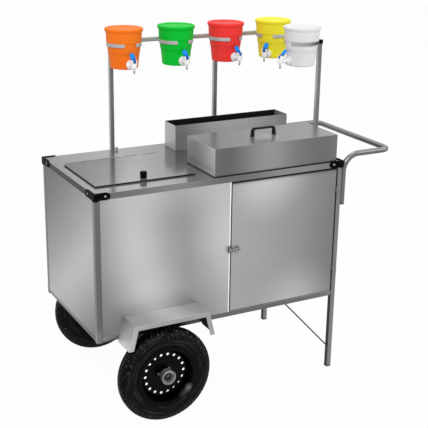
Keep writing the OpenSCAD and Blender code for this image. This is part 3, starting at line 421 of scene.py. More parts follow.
def square_tube(points, faces, low, high, axis, radius):
    """Adds one hollow bar, in workshop millimetres, to the running lists."""
    u, v = [i for i in range(3) if i != axis]
    rings = []
    for inset, bend in ((0, radius), (WALL, radius - WALL)):
        ring = []
        for corner, (su, sv) in enumerate(((1, 1), (-1, 1), (-1, -1), (1, -1))):
            middle_u = high[u] - inset - bend if su > 0 else low[u] + inset + bend
            middle_v = high[v] - inset - bend if sv > 0 else low[v] + inset + bend
            for step in range(BEND_STEPS + 1):
                angle = math.radians(90 * (corner + step / BEND_STEPS))
                ring.append((middle_u + bend * math.cos(angle), middle_v + bend * math.sin(angle)))
        rings.append(ring)
    base, count = len(points), len(rings[0])
    for end in (low[axis], high[axis]):
        for ring in rings:
            for a, b in ring:
                place = [0, 0, 0]
                place[axis], place[u], place[v] = end, a, b
                points.append(at(*place))
    for i in range(count):
        j = (i + 1) % count
        for near, far in ((0, 2), (3, 1), (1, 0), (2, 3)):
            first, second = base + near * count, base + far * count
            faces.append((first + i, first + j, second + j, second + i))


def welded(name, bars, radius, finish, node):
    """All bars of one frame in one mesh."""
    points, faces = [], []
    for low, high, axis in bars:
        square_tube(points, faces, low, high, axis, radius)
    fit(shape(name, points, faces), "cart", [finish], node)


# The counter's sides and the tube, the heights, and how far the rails stand in from the counter's edge.
LENGTH, DEPTH, TUBE = 1000, 520, 20
FOOT, CABINET_LOW, CABINET_TOP = 4, 312, 835
INSET = 2.2
RAIL = INSET + TUBE
CROSS_RAILS, MULLION, MULLION_FOOT = (157, 277), 503, 333.2
bars = []
for x, low_z in ((0, CABINET_LOW), (LENGTH - TUBE, FOOT)):
    for y in (0, DEPTH - TUBE):
        bars.append(((x, y, low_z), (x + TUBE, y + TUBE, CABINET_TOP), 2))
for z, x_gap in ((CABINET_TOP, INSET), (CABINET_LOW, TUBE)):
    for y in (INSET, DEPTH - RAIL):
        bars.append(((x_gap, y, z), (LENGTH - x_gap, y + TUBE, z + TUBE), 0))
    for x in (INSET, LENGTH - RAIL):
        bars.append(((x, RAIL, z), (x + TUBE, DEPTH - RAIL, z + TUBE), 1))
for x in CROSS_RAILS:
    bars.append(((x, RAIL, CABINET_LOW), (x + TUBE, DEPTH - RAIL, CABINET_LOW + TUBE), 1))
bars.append(((MULLION, INSET, MULLION_FOOT), (MULLION + TUBE, RAIL, CABINET_TOP), 2))

# Painted tones on the frame: lighter tops and darker undersides, painted shade on the faces in the door's
# gap, a patch of painted light at the front left foot and a painted shadow behind the front mudguard.
frame_steel = brushed(
    "frame_steel", 0.3, top=165, under=70, grain=(900, 900, 8),
    front=((1, 0, 0), ((0, 103), (520, 104), (930, 108), (975, 128), (1000, 128))),
    end=((1, 0, 0), ((0, 132), (930, 132), (972, 40), (986, 40), (1000, 150))),
    light_and_shade_patches=(((40, 0, 322), 70, 2.0), ((300, 0, 322), 125, 0.04)))
welded("frame_tubes", bars, FRAME_BEND, frame_steel, "frame")

# %% [markdown]
# ## Pot rack
# Two thinner posts stand on the counter, a third stands in a socket on the right side, and two rails join
# them at the top. The same tube helper makes it; its left and front ends come from the CAD node's box.

# %% Pot rack
RACK, RACK_LOW, SOCKET_LOW, RACK_TOP = 16, 857, 687, 1268
BACK_POST, MIDDLE_POST, SIDE_POST = 495, 710, (1003, 199.53)
rack_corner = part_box("pot_rack")[0]
rack_left, rack_front = [(rack_corner[i] - plate_corner[i]) * 1000 for i in (0, 1)]


def post(x, y, low_z):
    """One upright bar, from its lower corner up to the rails."""
    return (x, y, low_z), (x + RACK, y + RACK, RACK_TOP), 2


rack_posts = [post(x, BACK_POST, RACK_LOW) for x in (rack_left, MIDDLE_POST)]
rack_posts.append(post(*SIDE_POST, SOCKET_LOW))
rack_end = (SIDE_POST[0] + RACK, BACK_POST + RACK, RACK_TOP + RACK)
rack_rails = [
    ((rack_left, BACK_POST, RACK_TOP), rack_end, 0),
    ((SIDE_POST[0], rack_front, RACK_TOP), (rack_end[0], BACK_POST, rack_end[2]), 1),
]
# Each way a face looks gets its own grey: painted light on sides and tops, painted shade underneath.
post_steel = brushed(
    "post_steel", 0.3, metal=0.4, front=116, end=186, top=200, under=90, grain=(900, 900, 8))
rail_steel = brushed(
    "rail_steel", 0.32, metal=0.1, front=184, end=150, top=215, under=80, grain=(8, 8, 900))
welded("rack_posts", rack_posts, RACK_BEND, post_steel, "pot_rack")
welded("rack_rails", rack_rails, RACK_BEND, rail_steel, "pot_rack")

# %% [markdown]
# ## Folded sheet boxes
# The cover, the trough and the door are sheets bent up into boxes. On a press brake each bend gets a small
# radius, and the sheet keeps its thickness. So each box starts as a cube, loses the side that is open,
# has its folds rounded in the mesh, and gets its thickness from a Solidify modifier.

# %% Folded sheet boxes


def workshop(name):
    """A CAD node's two corners in workshop millimetres."""
    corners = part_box(name)
    return [[(corner[i] - plate_corner[i] * (i < 2)) * 1000 for i in range(3)] for corner in corners]


def bent(name, work, bend, steps, thick, inside):
    """Rounds every fold of a thin mesh, then lets modifiers give it the sheet's thickness."""
    folds = [edge for edge in work.edges if edge.calc_face_angle(0) > 0.5]
    bmesh.ops.bevel(work, geom=folds, offset=bend / 1000, segments=steps, profile=0.5, affect="EDGES")
    made = finished(name, work)
    sheet = made.modifiers.new("sheet", "SOLIDIFY")
    sheet.thickness, sheet.offset, sheet.use_even_offset = thick / 1000, -1, True
    sheet.material_offset = inside
    made.modifiers.new("flat_faces", "WEIGHTED_NORMAL").weight = 100
    return made


def folded_box(name, node, open_axis, open_sign, lip=0, inside=0):
    """A sheet box as big as a CAD node, open on one side, where a lip may be left."""
    work = bmesh.new()
    bmesh.ops.create_cube(work, size=1)
    near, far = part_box(node)
    for vert in work.verts:
        vert.co = Vector(near[i] if vert.co[i] < 0 else far[i] for i in range(3))
    work.normal_update()
    mouth = next(face for face in work.faces if face.normal[open_axis] * open_sign > 0.5)
    if lip:
        bmesh.ops.inset_region(work, faces=[mouth], thickness=lip / 1000)
    bmesh.ops.delete(work, geom=[mouth], context="FACES")
    return bent(name, work, bend=2.0, steps=4, thick=1.2, inside=inside)


(cover_x, cover_y, _), (cover_r, cover_end, cover_top) = workshop("cover_shell")
# Painted sheen across the cover, a painted shadow line along its bottom edge and a patch of painted light
# in front of the grip.
cover_sheet = brushed(
    "cover_sheet", 0.24, metal=0.5,
    front=((1, 0, 0), (
        (457, 110), (520, 96), (600, 132), (680, 158), (760, 130), (840, 113), (920, 107), (976, 118))),
    end=((0, 1, 0), ((6, 222), (60, 194), (110, 172), (160, 154), (225, 164))),
    top=((1, -0.6, 0), ((340, 122), (470, 124), (550, 134), (710, 142), (800, 152), (950, 160))),
    fade=((0, 0, 1), ((857, 40), (860, 60), (863, 255), (870, 255), (961, 255))),
    light_and_shade_patches=(((716, 100, 961), 85, 1.5),))
cover_box = folded_box("cover_box", "cover_shell", 2, -1)
fit(cover_box, "cover", [cover_sheet], "cover_shell")

# The trough's outside carries a painted sheen.
trough_sheet = brushed(
    "trough_sheet", 0.26, metal=0.3,
    front=((1, 0, 0), ((491, 140), (560, 156), (640, 206), (800, 226), (900, 164), (995, 116))),
    end=((0, 1, 0), ((393, 186), (440, 190), (488, 194))), top=190)
# The trough's inside is painted near black as shade, and its right end wall lighter as painted light.
trough_inner_shade = brushed(
    "trough_inner_shade", 0.5, front=34, top=22,
    end=((1, 0, 0), ((491, 30), (940, 30), (980, 130), (995, 190))))
trough_box = folded_box("trough_box", "trough", 2, 1, inside=1)
fit(trough_box, "cart", [trough_sheet, trough_inner_shade], "trough")

door_pan = folded_box("door_pan", "door_panel", 1, 1, lip=20)
fit(door_pan, "door", [door_sheet], "door_panel")

# %% [markdown]
# ## Counter, hatch and flat panels
# The counter and the hatch are almost mirrors: they show the posts, the knob and the trough upside down.
# Their CAD shapes are right, so they keep them and get a smoother finish than the walls, with a painted
# sheen across their tops and painted shade on their edges, and modifiers round their edges a little.

# %% Counter, hatch and flat panels
# Painted sheen on the tops, painted shade on the edges.
counter_sheet = brushed(
    "counter_sheet", 0.14, metal=0.8, end=62,
    front=((1, 0, 0), (
        (0, 103), (150, 112), (330, 142), (480, 100), (620, 118), (750, 148), (1000, 110))),
    top=((1, -0.15, 0), (
        (-80, 152), (-20, 172), (60, 182), (160, 194), (300, 190), (420, 162), (700, 134), (1000, 130))))
lid_sheet = brushed(
    "lid_sheet", 0.15, metal=0.8, front=60, end=90,
    top=((1, -0.5, 0), (
        (-140, 130), (-40, 142), (60, 170), (120, 200), (190, 184), (270, 168), (370, 158))))
dress(front_sheet, "front_panel")
dress(end_sheet, "end_panels")
dress(inner_sheet, "back_panel", "floor_panel", "divider_panel", "ice_tub", "serving_pan")
dress(counter_sheet, "top_plate")
dress(lid_sheet, "hatch_lid")
soften(0.8, "top_plate")
soften(0.4, "hatch_lid")
print("panels dressed")

# %% [markdown]
# ## Black rubber and black enamel
# Three finishes meet at a wheel: dull rubber with painted highlights, black enamel on the rim, and grey
# plated steel at the hub. Rubber is near black but never even, so noise drives its colour, roughness and
# bump. The enamel is smoother, with a thin clear coat over a faint orange-peel ripple and a pale painted
# highlight on its inner wall; the hub has painted shade in its middle.

# %% Black finishes
AXLE_X, AXLE_Z = 227, 177
TREAD_START, TREAD_FULL = 0.145, 0.168


def blend_of(tree, share, first, second):
    """A wire that runs from one colour to another; sockets 6 and 7 are a Mix node's two colours."""
    return add(tree, "Mix", {0: share, 6: first, 7: second}, data_type="RGBA").outputs[2]


def mottled(name, dark, light, rough, scale, bump=0.3, depth=0.0004,
            metal=0.0, coat=0.0, gloss=0.5, highlight_and_shade_spots=()):
    """A colour that wanders between two tones, with roughness and bump from the same noise.

    the spots are places of painted highlight and painted shade in another tone (point, radius, colour).
    """
    finish, tree, shader = blank(name)
    place = add(tree, "TexCoord").outputs["Object"]
    fine, broad = noise(tree, place, scale, 5.0), noise(tree, place, scale / 14, 2.0)
    blend = sum_of(tree, "MULTIPLY_ADD", fine, 0.35, sum_of(tree, "MULTIPLY", broad, 0.65))
    colour = blend_of(tree, between(tree, blend, 0.35, 0.65, 0, 1), dark, light)
    # Spots of painted highlight and painted shade.
    for centre, radius, shade in highlight_and_shade_spots:
        near = near_to(tree, place, centre, radius, 1, 0)
        near = sum_of(tree, "MULTIPLY", near, between(tree, blend, 0.4, 0.6, 0.5, 1))
        colour = blend_of(tree, near, colour, shade)
    tree.links.new(colour, shader.inputs["Base Color"])
    tree.links.new(wander(tree, fine, rough - 0.06, rough + 0.06), shader.inputs["Roughness"])
    rise = add(tree, "Bump", {"Height": fine, "Strength": bump, "Distance": depth})
    tree.links.new(rise.outputs[0], shader.inputs["Normal"])
    shader.inputs["Metallic"].default_value = metal
    shader.inputs["Coat Weight"].default_value = coat
    shader.inputs["Coat Roughness"].default_value = 0.1
    shader.inputs["Specular IOR Level"].default_value = gloss
    return finish


# The two pale spots on the rim's inner wall are a painted highlight.
rim_enamel = mottled(
    "rim_enamel", tint(3, 3, 4), tint(7, 7, 8), 0.24, 120, bump=0.06, coat=0.04, gloss=0.04,
    highlight_and_shade_spots=(((306, -97, 116), 24, tint(120, 120, 118)), ((288, -97, 100), 26, tint(70, 70, 70))))
plated_steel = mottled(
    "plated_steel", tint(92, 92, 92), tint(160, 160, 158), 0.34, 300, bump=0.15, metal=0.8)
# The dark spot at the axle end is painted shade in the middle of the hub.
hub_steel = mottled(
    "hub_steel", tint(84, 84, 84), tint(176, 176, 174), 0.3, 300, bump=0.15, metal=0.6,
    highlight_and_shade_spots=(((AXLE_X, -140, AXLE_Z), 24, tint(18, 18, 18)),))
black_moulding = mottled(
    "black_moulding", tint(6, 6, 7), tint(15, 15, 16), 0.45, 420, bump=0.25, depth=0.0002, gloss=0.02)
seal_rubber = mottled("seal_rubber", tint(10, 10, 10), tint(22, 22, 22), 0.7, 300, gloss=0.2)


def glinting_rubber(name, axle):
    """Black rubber with painted sheen in faint streaks round the wheel and painted highlights in pale
    flecks, mostly on the tread.
    """
    finish, tree, shader = blank(name)
    place = add(tree, "TexCoord").outputs["Object"]
    out = add(tree, "VectorMath", {0: place, 1: axle}, operation="SUBTRACT").outputs[0]
    flat = add(tree, "VectorMath", {0: out, 1: (1, 0, 1)}, operation="MULTIPLY").outputs[0]
    radius = add(tree, "VectorMath", {0: flat}, operation="LENGTH").outputs["Value"]
    fine, broad = noise(tree, place, 120.0, 5.0), noise(tree, place, 16.0, 2.0)
    # Pale flecks, mostly on the tread: painted highlights.
    glints = between(tree, fine, 0.53, 0.66, 0, 1, interpolation_type="SMOOTHSTEP")
    glints = sum_of(tree, "MULTIPLY", glints, between(tree, broad, 0.42, 0.62, 0.1, 1))
    glints = sum_of(tree, "MULTIPLY", glints, between(tree, radius, TREAD_START, TREAD_FULL, 0.12, 1))
    # Faint lighter streaks round the wheel: painted sheen.
    ways = add(tree, "SeparateXYZ", {0: flat}).outputs
    angle = sum_of(tree, "ARCTAN2", ways["X"], sum_of(tree, "MULTIPLY", ways["Z"], -1))
    rings = sum_of(tree, "MULTIPLY", radius, 170)
    ribs = noise(tree, add(tree, "CombineXYZ", {"X": rings, "Y": angle}).outputs[0], 1.3, 3.0)
    streak = between(tree, ribs, 0.5, 0.72, 0, 1, interpolation_type="SMOOTHSTEP")
    wall = blend_of(tree, streak, tint(2, 2, 2), tint(50, 50, 50))
    tree.links.new(blend_of(tree, glints, wall, tint(92, 92, 92)), shader.inputs["Base Color"])
    tree.links.new(wander(tree, fine, 0.42, 0.62), shader.inputs["Roughness"])
    rise = add(tree, "Bump", {"Height": fine, "Strength": 0.7, "Distance": 0.0008})
    tree.links.new(rise.outputs[0], shader.inputs["Normal"])
    shader.inputs["Specular IOR Level"].default_value = 0.08
    return finish


print("black finishes ready")

# %% [markdown]
# ## Mudguards
# A mudguard is one strip of sheet: two bends make the splayed ends and a narrow lip is folded down along
# its outer edge. Its inside is painted near black as shade. A row of points along the bent outline,
# repeated at the cabinet, at the outer edge and at the inner edge of the lip, gives the strip, with a tab
# for the bolts along the cabinet; the Solidify modifier adds the thickness and puts the painted shade on
# the inside.

# %% Mudguards
# Painted sheen on the mudguard's top, painted shade on faces that look down, and a patch of painted light
# low on its left.
fender_sheet = brushed(
    "fender_sheet", 0.34, metal=0.4, front=165, end=185, under=20, grain=(300, 4, 300),
    top=((1, 0.2, 0), ((90, 164), (160, 178), (230, 218), (280, 214), (330, 186), (400, 168))),
    light_and_shade_patches=(((80, -50, 316), 130, 1.4),))
# The near black inside of the mudguard is painted shade.
fender_underside_shade = mottled("fender_underside_shade", tint(5, 5, 5), tint(20, 20, 20), 0.8, 90, bump=0.3, gloss=0.1)
GUARD_MID, GUARD_HALF, SPLAY, DROP, LIP = 245, 145, 23, 92, 18
TAB_HALF, TAB_DROP = 143, 30
guard_top = workshop("fenders")[1][2]


def outline(inset):
    """The bent outline in millimetres beside and above the guard's top middle, moved in by inset."""
    side = inset * math.hypot(SPLAY, DROP) / DROP
    foot, shoulder = GUARD_HALF + SPLAY - side, GUARD_HALF + SPLAY / DROP * inset - side
    return [(-foot, -DROP), (-shoulder, -inset), (shoulder, -inset), (foot, -DROP)]


def mudguard(name, out_y, in_y):
    """The strip from the cabinet at in_y to the lip at out_y, with its tab."""
    work, rows = bmesh.new(), []
    for inset, y in ((0, in_y), (0, out_y), (LIP, out_y)):
        rows.append([work.verts.new(at(GUARD_MID + u, y, guard_top + v)) for u, v in outline(inset)])
    for near, far in zip(rows, rows[1:]):
        for i in range(3):
            work.faces.new((near[i], near[i + 1], far[i + 1], far[i]))
    tab = [work.verts.new(at(GUARD_MID + u, in_y, guard_top - TAB_DROP)) for u in (-TAB_HALF, TAB_HALF)]
    work.faces.new((tab[0], tab[1], rows[0][2], rows[0][1]))
    bmesh.ops.recalc_face_normals(work, faces=work.faces)
    if next(face for face in work.faces if abs(face.normal.z) > 0.9).normal.z < 0:
        bmesh.ops.reverse_faces(work, faces=work.faces)
    return bent(name, work, bend=2.5, steps=3, thick=2.0, inside=1)


for name, out_y, in_y in (("front_mudguard", -98, 1), ("rear_mudguard", 618, 519)):
    fit(mudguard(name, out_y, in_y), "cart", [fender_sheet, fender_underside_shade], "fenders")

# %% [markdown]
# ## Tyres
# A small trolley tyre is a rounded carcass with rows of rubber blocks moulded on it. A torus would give
# the carcass, but not the square shoulders. So one function gives a point on the tyre from the angle
# round the wheel, the angle across the tread and a lift off the outline, and both the carcass and every
# block are grids of such points. Neighbouring rows of blocks are set half a block apart, as on the cart.

# %% Tyres
TYRE_MID, TYRE_RISE, TYRE_HALF, TYRE_SQUARE = 141.8, 35.2, 35, 0.72
TURNS, BLOCKS = 120, 60
# Each row of blocks: its shift in blocks, the length in degrees, its two angles across, and its slew.
TREAD = (
    (0, 4.0, 24, 46, 1.4), (0.5, 3.8, 49, 64, 1.6), (0, 4.6, 67, 79, 1.0), (0.5, 5.2, 82, 98, 0.6),
    (0, 4.6, 101, 113, -1.0), (0.5, 3.8, 116, 131, -1.6), (0, 4.0, 134, 156, -1.4))


def section(across, lift):
    """Radius and offset from the wheel's middle plane, in millimetres, at an angle across the tyre."""
    a = math.radians(across)
    flat = math.copysign(abs(math.cos(a)) ** TYRE_SQUARE, math.cos(a))
    return TYRE_MID + (TYRE_RISE + lift) * math.sin(a), (TYRE_HALF + lift) * flat


def carcass():
    """Half section of the tyre under its blocks, from bead to bead, with ribs on the side walls."""
    ring = [(102, 28.6), (112, 28.6), (116, 29)]
    for across in range(-30, 211, 4):
        edge = min(across, 180 - across)
        sunk = 2.6 * min(max((edge - 24) / 12, 0), 1)
        rib = 0.9 if -18 < edge < 22 and (across // 4) % 3 == 0 else 0
        ring.append(section(across, rib - sunk))
    return ring + [(116, -29), (112, -28.6), (102, -28.6)]


def border(grid):
    """The points round the edge of a grid whose rows have three points."""
    return [row[0] for row in grid] + grid[-1][1:] + [row[2] for row in grid[-2::-1]] + [grid[0][1]]


def tyre(name, centre_y, outwards):
    """The carcass and its blocks; outwards is the way the wheel's outer side looks."""
    points, faces = [], []

    def put(angle, radius, offset):
        a = math.radians(angle)
        x, z = AXLE_X + radius * math.cos(a), AXLE_Z + radius * math.sin(a)
        points.append(at(x, centre_y + outwards * offset, z))
        return len(points) - 1

    ring = carcass()
    count = len(ring)
    for step in range(TURNS):
        here, there = step * count, (step + 1) % TURNS * count
        for i, (radius, offset) in enumerate(ring):
            put(step * 360 / TURNS, radius, offset)
            j = (i + 1) % count
            faces.append((here + i, here + j, there + j, there + i))

    def block(start, length, low, high, slew):
        """A rubber block between two angles across the tread, slewed along the way it runs."""
        grids = []
        for lift, spread in ((0, 0), (-3.4, 0.4)):
            grid = []
            for i in range(4):
                across = low - spread * 1.5 + (high - low + 3 * spread) * i / 3
                first = start + slew * (i / 3 - 0.5) - spread * 0.5
                angles = [first + (length + spread) * j / 2 for j in range(3)]
                grid.append([put(angle, *section(across, lift)) for angle in angles])
            grids.append(grid)
            for i in range(3):
                for j in range(2):
                    faces.append((grid[i][j], grid[i][j + 1], grid[i + 1][j + 1], grid[i + 1][j]))
        upper, lower = border(grids[0]), border(grids[1])
        for i in range(len(upper)):
            j = (i + 1) % len(upper)
            faces.append((upper[i], upper[j], lower[j], lower[i]))

    pitch = 360 / BLOCKS
    for n in range(BLOCKS):
        for shift, *rest in TREAD:
            block((n + shift) * pitch, *rest)
    return shape(name, points, faces)


tyre_rubber = glinting_rubber("tyre_rubber", at(AXLE_X, 0, AXLE_Z))
for side, centre_y, outwards in (("front", -64, -1), ("rear", 584, 1)):
    rubber = tyre(side + "_tyre_rubber", centre_y, outwards)
    fit(rubber, side + "_wheel", [tyre_rubber], side + "_tyre", fold=32)
dress(rim_enamel, "front_rim", "rear_rim")
dress(hub_steel, "front_hub", "rear_hub")
dress(plated_steel, "axle", "axle_hangers")
soften(1.1, "front_rim", "rear_rim")
soften(0.6, "front_hub", "rear_hub")

# %% [markdown]
# ## Pots, taps and levers
# The pots are thin injection-moulded buckets in bright plastic, a little cloudy in colour and soft in
# shine. A moulded part lets some light in, so a touch of subsurface keeps the shaded side glowing. The
# white one lets a little light through. Taps are white plastic; the levers are curved blue paddles.

# %% Pot finishes
PLASTIC_GLOW, PLASTIC_REACH, PLASTIC_GLOSS = 0.1, (0.01, 0.01, 0.01), 0.12


def moulded(name, main, deep, rough=0.5, through=0.0, fade=(-0.2, 1.1)):
    """Bright plastic: the colour deepens in faint clouds and towards the bottom of the piece."""
    finish, tree, shader = blank(name)
    surface = add(tree, "TexCoord").outputs
    height = add(tree, "SeparateXYZ", {0: surface["Generated"]}).outputs["Z"]
    share = between(tree, height, fade[0], fade[1], 0, 0.85, interpolation_type="SMOOTHSTEP")
    cloud = noise(tree, surface["Object"], 22.0, 3.0)
    share = sum_of(tree, "ADD", share, wander(tree, cloud, 0, 0.15))
    tree.links.new(blend_of(tree, share, deep, main), shader.inputs["Base Color"])
    ripple = noise(tree, surface["Object"], 160.0, 3.0)
    tree.links.new(wander(tree, ripple, rough - 0.05, rough + 0.05), shader.inputs["Roughness"])
    rise = add(tree, "Bump", {"Height": ripple, "Strength": 0.08, "Distance": 0.0003})
    tree.links.new(rise.outputs[0], shader.inputs["Normal"])
    shader.inputs["Subsurface Weight"].default_value = PLASTIC_GLOW
    shader.inputs["Subsurface Radius"].default_value = PLASTIC_REACH
    shader.inputs["Transmission Weight"].default_value = through
    shader.inputs["Specular IOR Level"].default_value = PLASTIC_GLOSS
    return finish


# Each pot: its middle, the way its tap points in degrees, its colour and its deeper colour.
POTS = {
    "orange": (295, 423.8, 270, tint(255, 128, 34), tint(255, 120, 26)),
    "green": (507.27, 423.8, 270, tint(0, 196, 52), tint(0, 204, 52)),
    "red": (719.53, 423.8, 278, tint(255, 62, 58), tint(255, 62, 58)),
    "yellow": (931.8, 423.8, 220, tint(252, 240, 56), tint(244, 232, 52)),
    "white": (931.8, 211.53, 180, tint(243, 243, 243), tint(243, 243, 243)),
}
# The grey lower part of the taps and the dark lower end of the levers are painted shade.
tap_white = moulded("tap_white", tint(254, 254, 254), tint(150, 152, 156), rough=0.35, fade=(0.02, 0.42))
lever_blue = moulded("lever_blue", tint(30, 150, 246), tint(10, 80, 168), rough=0.36, fade=(0.3, 0.62))
for colour, (*_, main, deep) in POTS.items():
    plastic = moulded(colour + "_plastic", main, deep, through=0.1 if colour == "white" else 0.0)
    dress(plastic, colour + "_pot", colour + "_lid")
    soften(0.7, colour + "_pot", colour + "_lid")
print(len(POTS), "pots dressed")

# %% [markdown]
# ## Tap levers
# Each lever is a paddle that swells from a narrow neck, curves up like a thumb rest and ends round. It is
# a loft: a row of oval rings along a bent centre line, each with its own width and thickness. A second
# loft makes the little barrel that turns on the tap's pin.

# %% Tap levers
# Heights of the pots, and above them of the taps and the pivots; SPOUT is how far out the spouts stand.
POT_BASE, TAP_RISE, PIVOT_RISE, SPOUT = 1190, 21, 37, 92.03
LEAN = math.radians(44)
# Along the paddle: distance from the pivot, half width, half thickness, and bow.
STATIONS = (
    (3, 5.6, 3.0, 0), (6.6, 6.4, 3.2, 0.2), (8.4, 8.5, 3.6, 0.4), (12.4, 9.4, 3.8, 0.6),
    (17.8, 9.5, 3.9, 0.6), (23.6, 9.5, 3.8, 0.2), (29, 9.2, 3.3, -0.4), (32.4, 7.8, 2.6, -0.9),
    (34.2, 5.2, 1.8, -1.2), (35, 2.4, 0.9, -1.4))


def loft(points, faces, rings):
    """Skins a row of equal rings and closes both ends."""
    base, count = len(points), len(rings[0])
    for ring in rings:
        points.extend(ring)
    for row in range(len(rings) - 1):
        here, there = base + row * count, base + (row + 1) * count
        for i in range(count):
            j = (i + 1) % count
            faces.append((here + i, here + j, there + j, there + i))
    last = base + (len(rings) - 1) * count
    faces.append(tuple(range(base, base + count)))
    faces.append(tuple(range(last, last + count)))


def oval(half_w, half_t, power, sides=20):
    """A ring of (width, thickness) pairs: an ellipse at power 2, squarer above it."""
    ring = []
    for i in range(sides):
        c, s = math.cos(2 * math.pi * i / sides), math.sin(2 * math.pi * i / sides)
        width, thick = half_w * abs(c) ** (2 / power), half_t * abs(s) ** (2 / power)
        ring.append((math.copysign(width, c), math.copysign(thick, s)))
    return ring


def beside(x, y, way, *_):
    """Makes the function that finds points by one pot's own measures."""
    turn = Matrix.Rotation(math.radians(way), 3, "Z")

    def place(out, side, rise):
        """A point by its distance out of the pot's axis, sideways, and above the pot's base."""
        aside = turn @ Vector((out, side, 0))
        return at(x + aside.x, y + aside.y, POT_BASE + rise)

    return place


for colour, pot in POTS.items():
    place = beside(*pot)
    paddle, barrel = [], []
    for along, half_w, half_t, bow in STATIONS:
        ring = []
        for w, t in oval(half_w, half_t, 3.5):
            out = SPOUT - along * math.sin(LEAN) + (t - bow) * math.cos(LEAN)
            rise = PIVOT_RISE + along * math.cos(LEAN) + (t - bow) * math.sin(LEAN)
            ring.append(place(out, w, rise))
        paddle.append(ring)
    for side, radius in ((-6, 4.8), (-5.4, 5.6), (5.4, 5.6), (6, 4.8)):
        barrel.append([place(SPOUT + a, side, PIVOT_RISE + b) for a, b in oval(radius, radius, 2)])
    points, faces = [], []
    loft(points, faces, paddle)
    loft(points, faces, barrel)
    lever = shape(colour + "_paddle", points, faces)
    fit(lever, colour + "_tap_lever", [lever_blue], colour + "_lever", fold=50)

# %% [markdown]
# ## Taps
# A dispenser tap screws through the wall of the pot: a round flange outside, a nut inside, a short
# barrel, an upright valve house and a thin spout under it. All of these are turned shapes, so one helper
# skins rings round a line, once along the barrel and once down the spout. Two ears hold the lever's pin.

# %% Taps


def turned(points, faces, place, profile, upright, sides=24):
    """Skins rings of (distance, radius) along the barrel or, if upright, along the spout."""
    rings = []
    for along, radius in profile:
        ring = []
        for i in range(sides):
            a = 2 * math.pi * i / sides
            u, v = radius * math.cos(a), radius * math.sin(a)
            if upright:
                ring.append(place(SPOUT + u, v, TAP_RISE + along))
            else:
                ring.append(place(along, u, TAP_RISE + v))
        rings.append(ring)
    loft(points, faces, rings)


PAD = 58.02
FLANGE = ((PAD, 16), (PAD + 0.8, 17), (PAD + 3.6, 17), (PAD + 4.7, 16), (PAD + 5, 13))
BARREL = ((PAD + 4, 11.5), (PAD + 6.5, 11), (PAD + 9, 9.2), (PAD + 12, 8.6), (SPOUT - 1, 8.2))
NUT = ((PAD - 18, 12), (PAD - 17, 13), (PAD - 13, 13), (PAD - 12, 12))
SHANK = ((PAD - 20, 7.2), (PAD - 19, 8), (PAD, 8))
HOUSE = ((8, 6.5), (7.4, 8.2), (6, 9), (-6, 9.2), (-9, 8.6), (-10.5, 6.4))
TUBE_END = ((-9, 5.4), (-12, 4.6), (-18, 3.9), (-27.4, 3.3), (-28, 2.9))
EAR, EAR_FOOT, PIN = 6, 4, PIVOT_RISE - TAP_RISE
ARCH = [(math.cos(math.radians(t)), math.sin(math.radians(t))) for t in range(0, 181, 15)]
for colour, pot in POTS.items():
    place = beside(*pot)
    points, faces = [], []
    for profile in (FLANGE, BARREL, SHANK):
        turned(points, faces, place, profile, False)
    turned(points, faces, place, NUT, False, sides=6)
    for profile in (HOUSE, TUBE_END):
        turned(points, faces, place, profile, True)
    for side in (-1, 1):
        ear = []
        for depth, shrink in ((6.2, 0.4), (6.6, 0), (8.8, 0), (9.2, 0.4)):
            half = EAR - shrink
            rim = [(half * c, PIN + half * n) for c, n in ARCH] + [(-half, EAR_FOOT), (half, EAR_FOOT)]
            ear.append([place(SPOUT + u, side * depth, TAP_RISE + v) for u, v in rim])
        loft(points, faces, ear)
    tap = shape(colour + "_tap_body", points, faces)
    fit(tap, colour + "_jug", [tap_white], colour + "_tap", fold=40)

# %% [markdown]
# ## Cover handle
# The black handle on the cover is a moulded bridge: two feet, two short legs that widen downwards and a
# thin bar, with round bends between them. A bent curve with a bevel would give a round bar; the real one
# is flatter, so the same loft follows a path with bends and keeps a rounded-square ring square to it.

# %% Cover handle


def bridge(half, top, bend, foot):
    """Points and directions along one arch, in millimetres beside and above its middle."""
    path = [(-half, foot, 0, 1)]
    for side, start in ((-1, 180), (1, 90)):
        for step in range(9):
            a = math.radians(start - 90 * step / 8)
            u = side * (half - bend) + bend * math.cos(a)
            path.append((u, top - bend + bend * math.sin(a), math.sin(a), -math.cos(a)))
    return path + [(half, foot, 0, -1)]


grip_moulding = mottled(
    "grip_moulding", tint(26, 26, 27), tint(40, 40, 41), 0.4, 420, bump=0.25, depth=0.0002, gloss=0.1)
GRIP_HALF, GRIP_TOP, GRIP_BEND, GRIP_FOOT, FOOT_HALF = 45.5, 28, 10, 1.5, 47
BAR_W, BAR_T, LEG_EXTRA, LEG_TAPER = 5.5, 4.2, 3.4, 0.06
grip_x, grip_y = (cover_x + cover_r) / 2, (cover_y + cover_end) / 2
points, faces, rings = [], [], []
for u, rise, du, dz in bridge(GRIP_HALF, GRIP_TOP, GRIP_BEND, GRIP_FOOT):
    ring = oval(BAR_W, BAR_T + abs(dz) * (LEG_EXTRA - LEG_TAPER * rise), 3.2)
    rings.append([at(grip_x + u + t * dz, grip_y + w, cover_top + rise - t * du) for w, t in ring])
loft(points, faces, rings)
for u in (-FOOT_HALF, FOOT_HALF):
    feet = []
    for rise, radius in ((0, 8), (2.2, 8), (3, 7.3), (3.6, 6)):
        pad = oval(radius, radius, 2.4, sides=28)
        feet.append([at(grip_x + u + a, grip_y + b, cover_top + rise) for a, b in pad])
    loft(points, faces, feet)
grip = shape("cover_grip", points, faces)
fit(grip, "cover", [grip_moulding], "cover_handle")
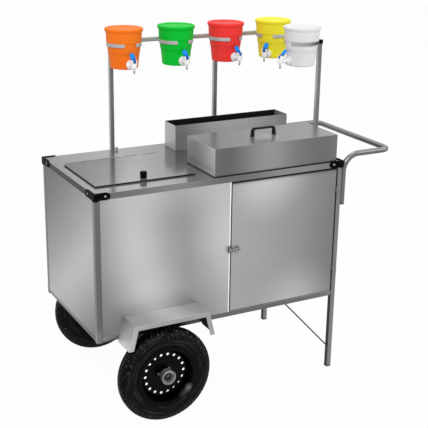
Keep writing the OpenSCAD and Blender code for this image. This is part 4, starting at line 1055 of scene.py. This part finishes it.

# %% [markdown]
# ## Handle, rings, fittings and small black parts
# The push handle is polished round tube, painted bright on top and dark underneath as light and shade. The
# pot rings are flat strap. The hinges, the latch and the screws are small plated fittings, and the corner
# protectors, the knob and the plugs are black mouldings. All these CAD shapes are right, so they only get
# rounder edges and finishes.

# %% Handle, rings, fittings and small black parts
EVEN = (200, 200, 200)
# Every steel finish in this block is painted lighter on top and darker underneath as light and shade.
handle_steel = brushed(
    "handle_steel", 0.24, front=112, end=110, top=166, under=50, grain=(60, 60, 60))
# The dark patch on the ring of the white pot is painted shade.
ring_steel = brushed(
    "ring_steel", 0.3, metal=0.12, front=190, end=178, top=210, under=110, grain=(40, 40, 900),
    light_and_shade_patches=(((990, 160, 1278), 125, 0.0),))
fitting_steel = brushed("fitting_steel", 0.26, front=140, end=125, top=190, under=70, grain=EVEN)
rod_steel = brushed("rod_steel", 0.3, front=96, end=96, top=130, under=60, grain=(100, 100, 100))
hinge_tone = ((0, 0, 1), ((836, 128), (846, 140)))
hinge_steel = brushed(
    "hinge_steel", 0.5, metal=0.2, front=hinge_tone, end=hinge_tone, top=hinge_tone, grain=EVEN)
# The bolts at the axle, low down, are painted dark as shade.
bolt_steel = brushed(
    "bolt_steel", 0.3, metal=0.4, end=150, top=200, under=70, grain=EVEN,
    front=((0, 0, 1), ((170, 26), (190, 30), (300, 90), (800, 190), (880, 200))))
dress(handle_steel, "push_handle")
dress(ring_steel, "pot_rings")
dress(hinge_steel, "hinge_leaves", "door_hinges")
dress(fitting_steel, "latch_guide", "latch_bolt", "latch_keeper", "cap_screws", "post_sockets")
dress(bolt_steel, "hex_bolts")
dress(rod_steel, "leg_braces")
dress(black_moulding, "corner_caps", "tube_plugs", "hatch_knob")
dress(seal_rubber, "hatch_seal")
soften(0.9, "corner_caps", "hatch_knob", "tube_plugs")
soften(0.5, "pot_rings", "latch_guide", "latch_keeper", "hex_bolts")
print("small parts dressed")

# %% [markdown]
# ## The size of the dressed cart
# The dressed cart's box is printed here, to set beside the CAD box printed at the start.

# %% The size of the dressed cart
visual_box = [list(corner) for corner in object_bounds()]
print("visual box", [[round(n, 4) for n in corner] for corner in visual_box])
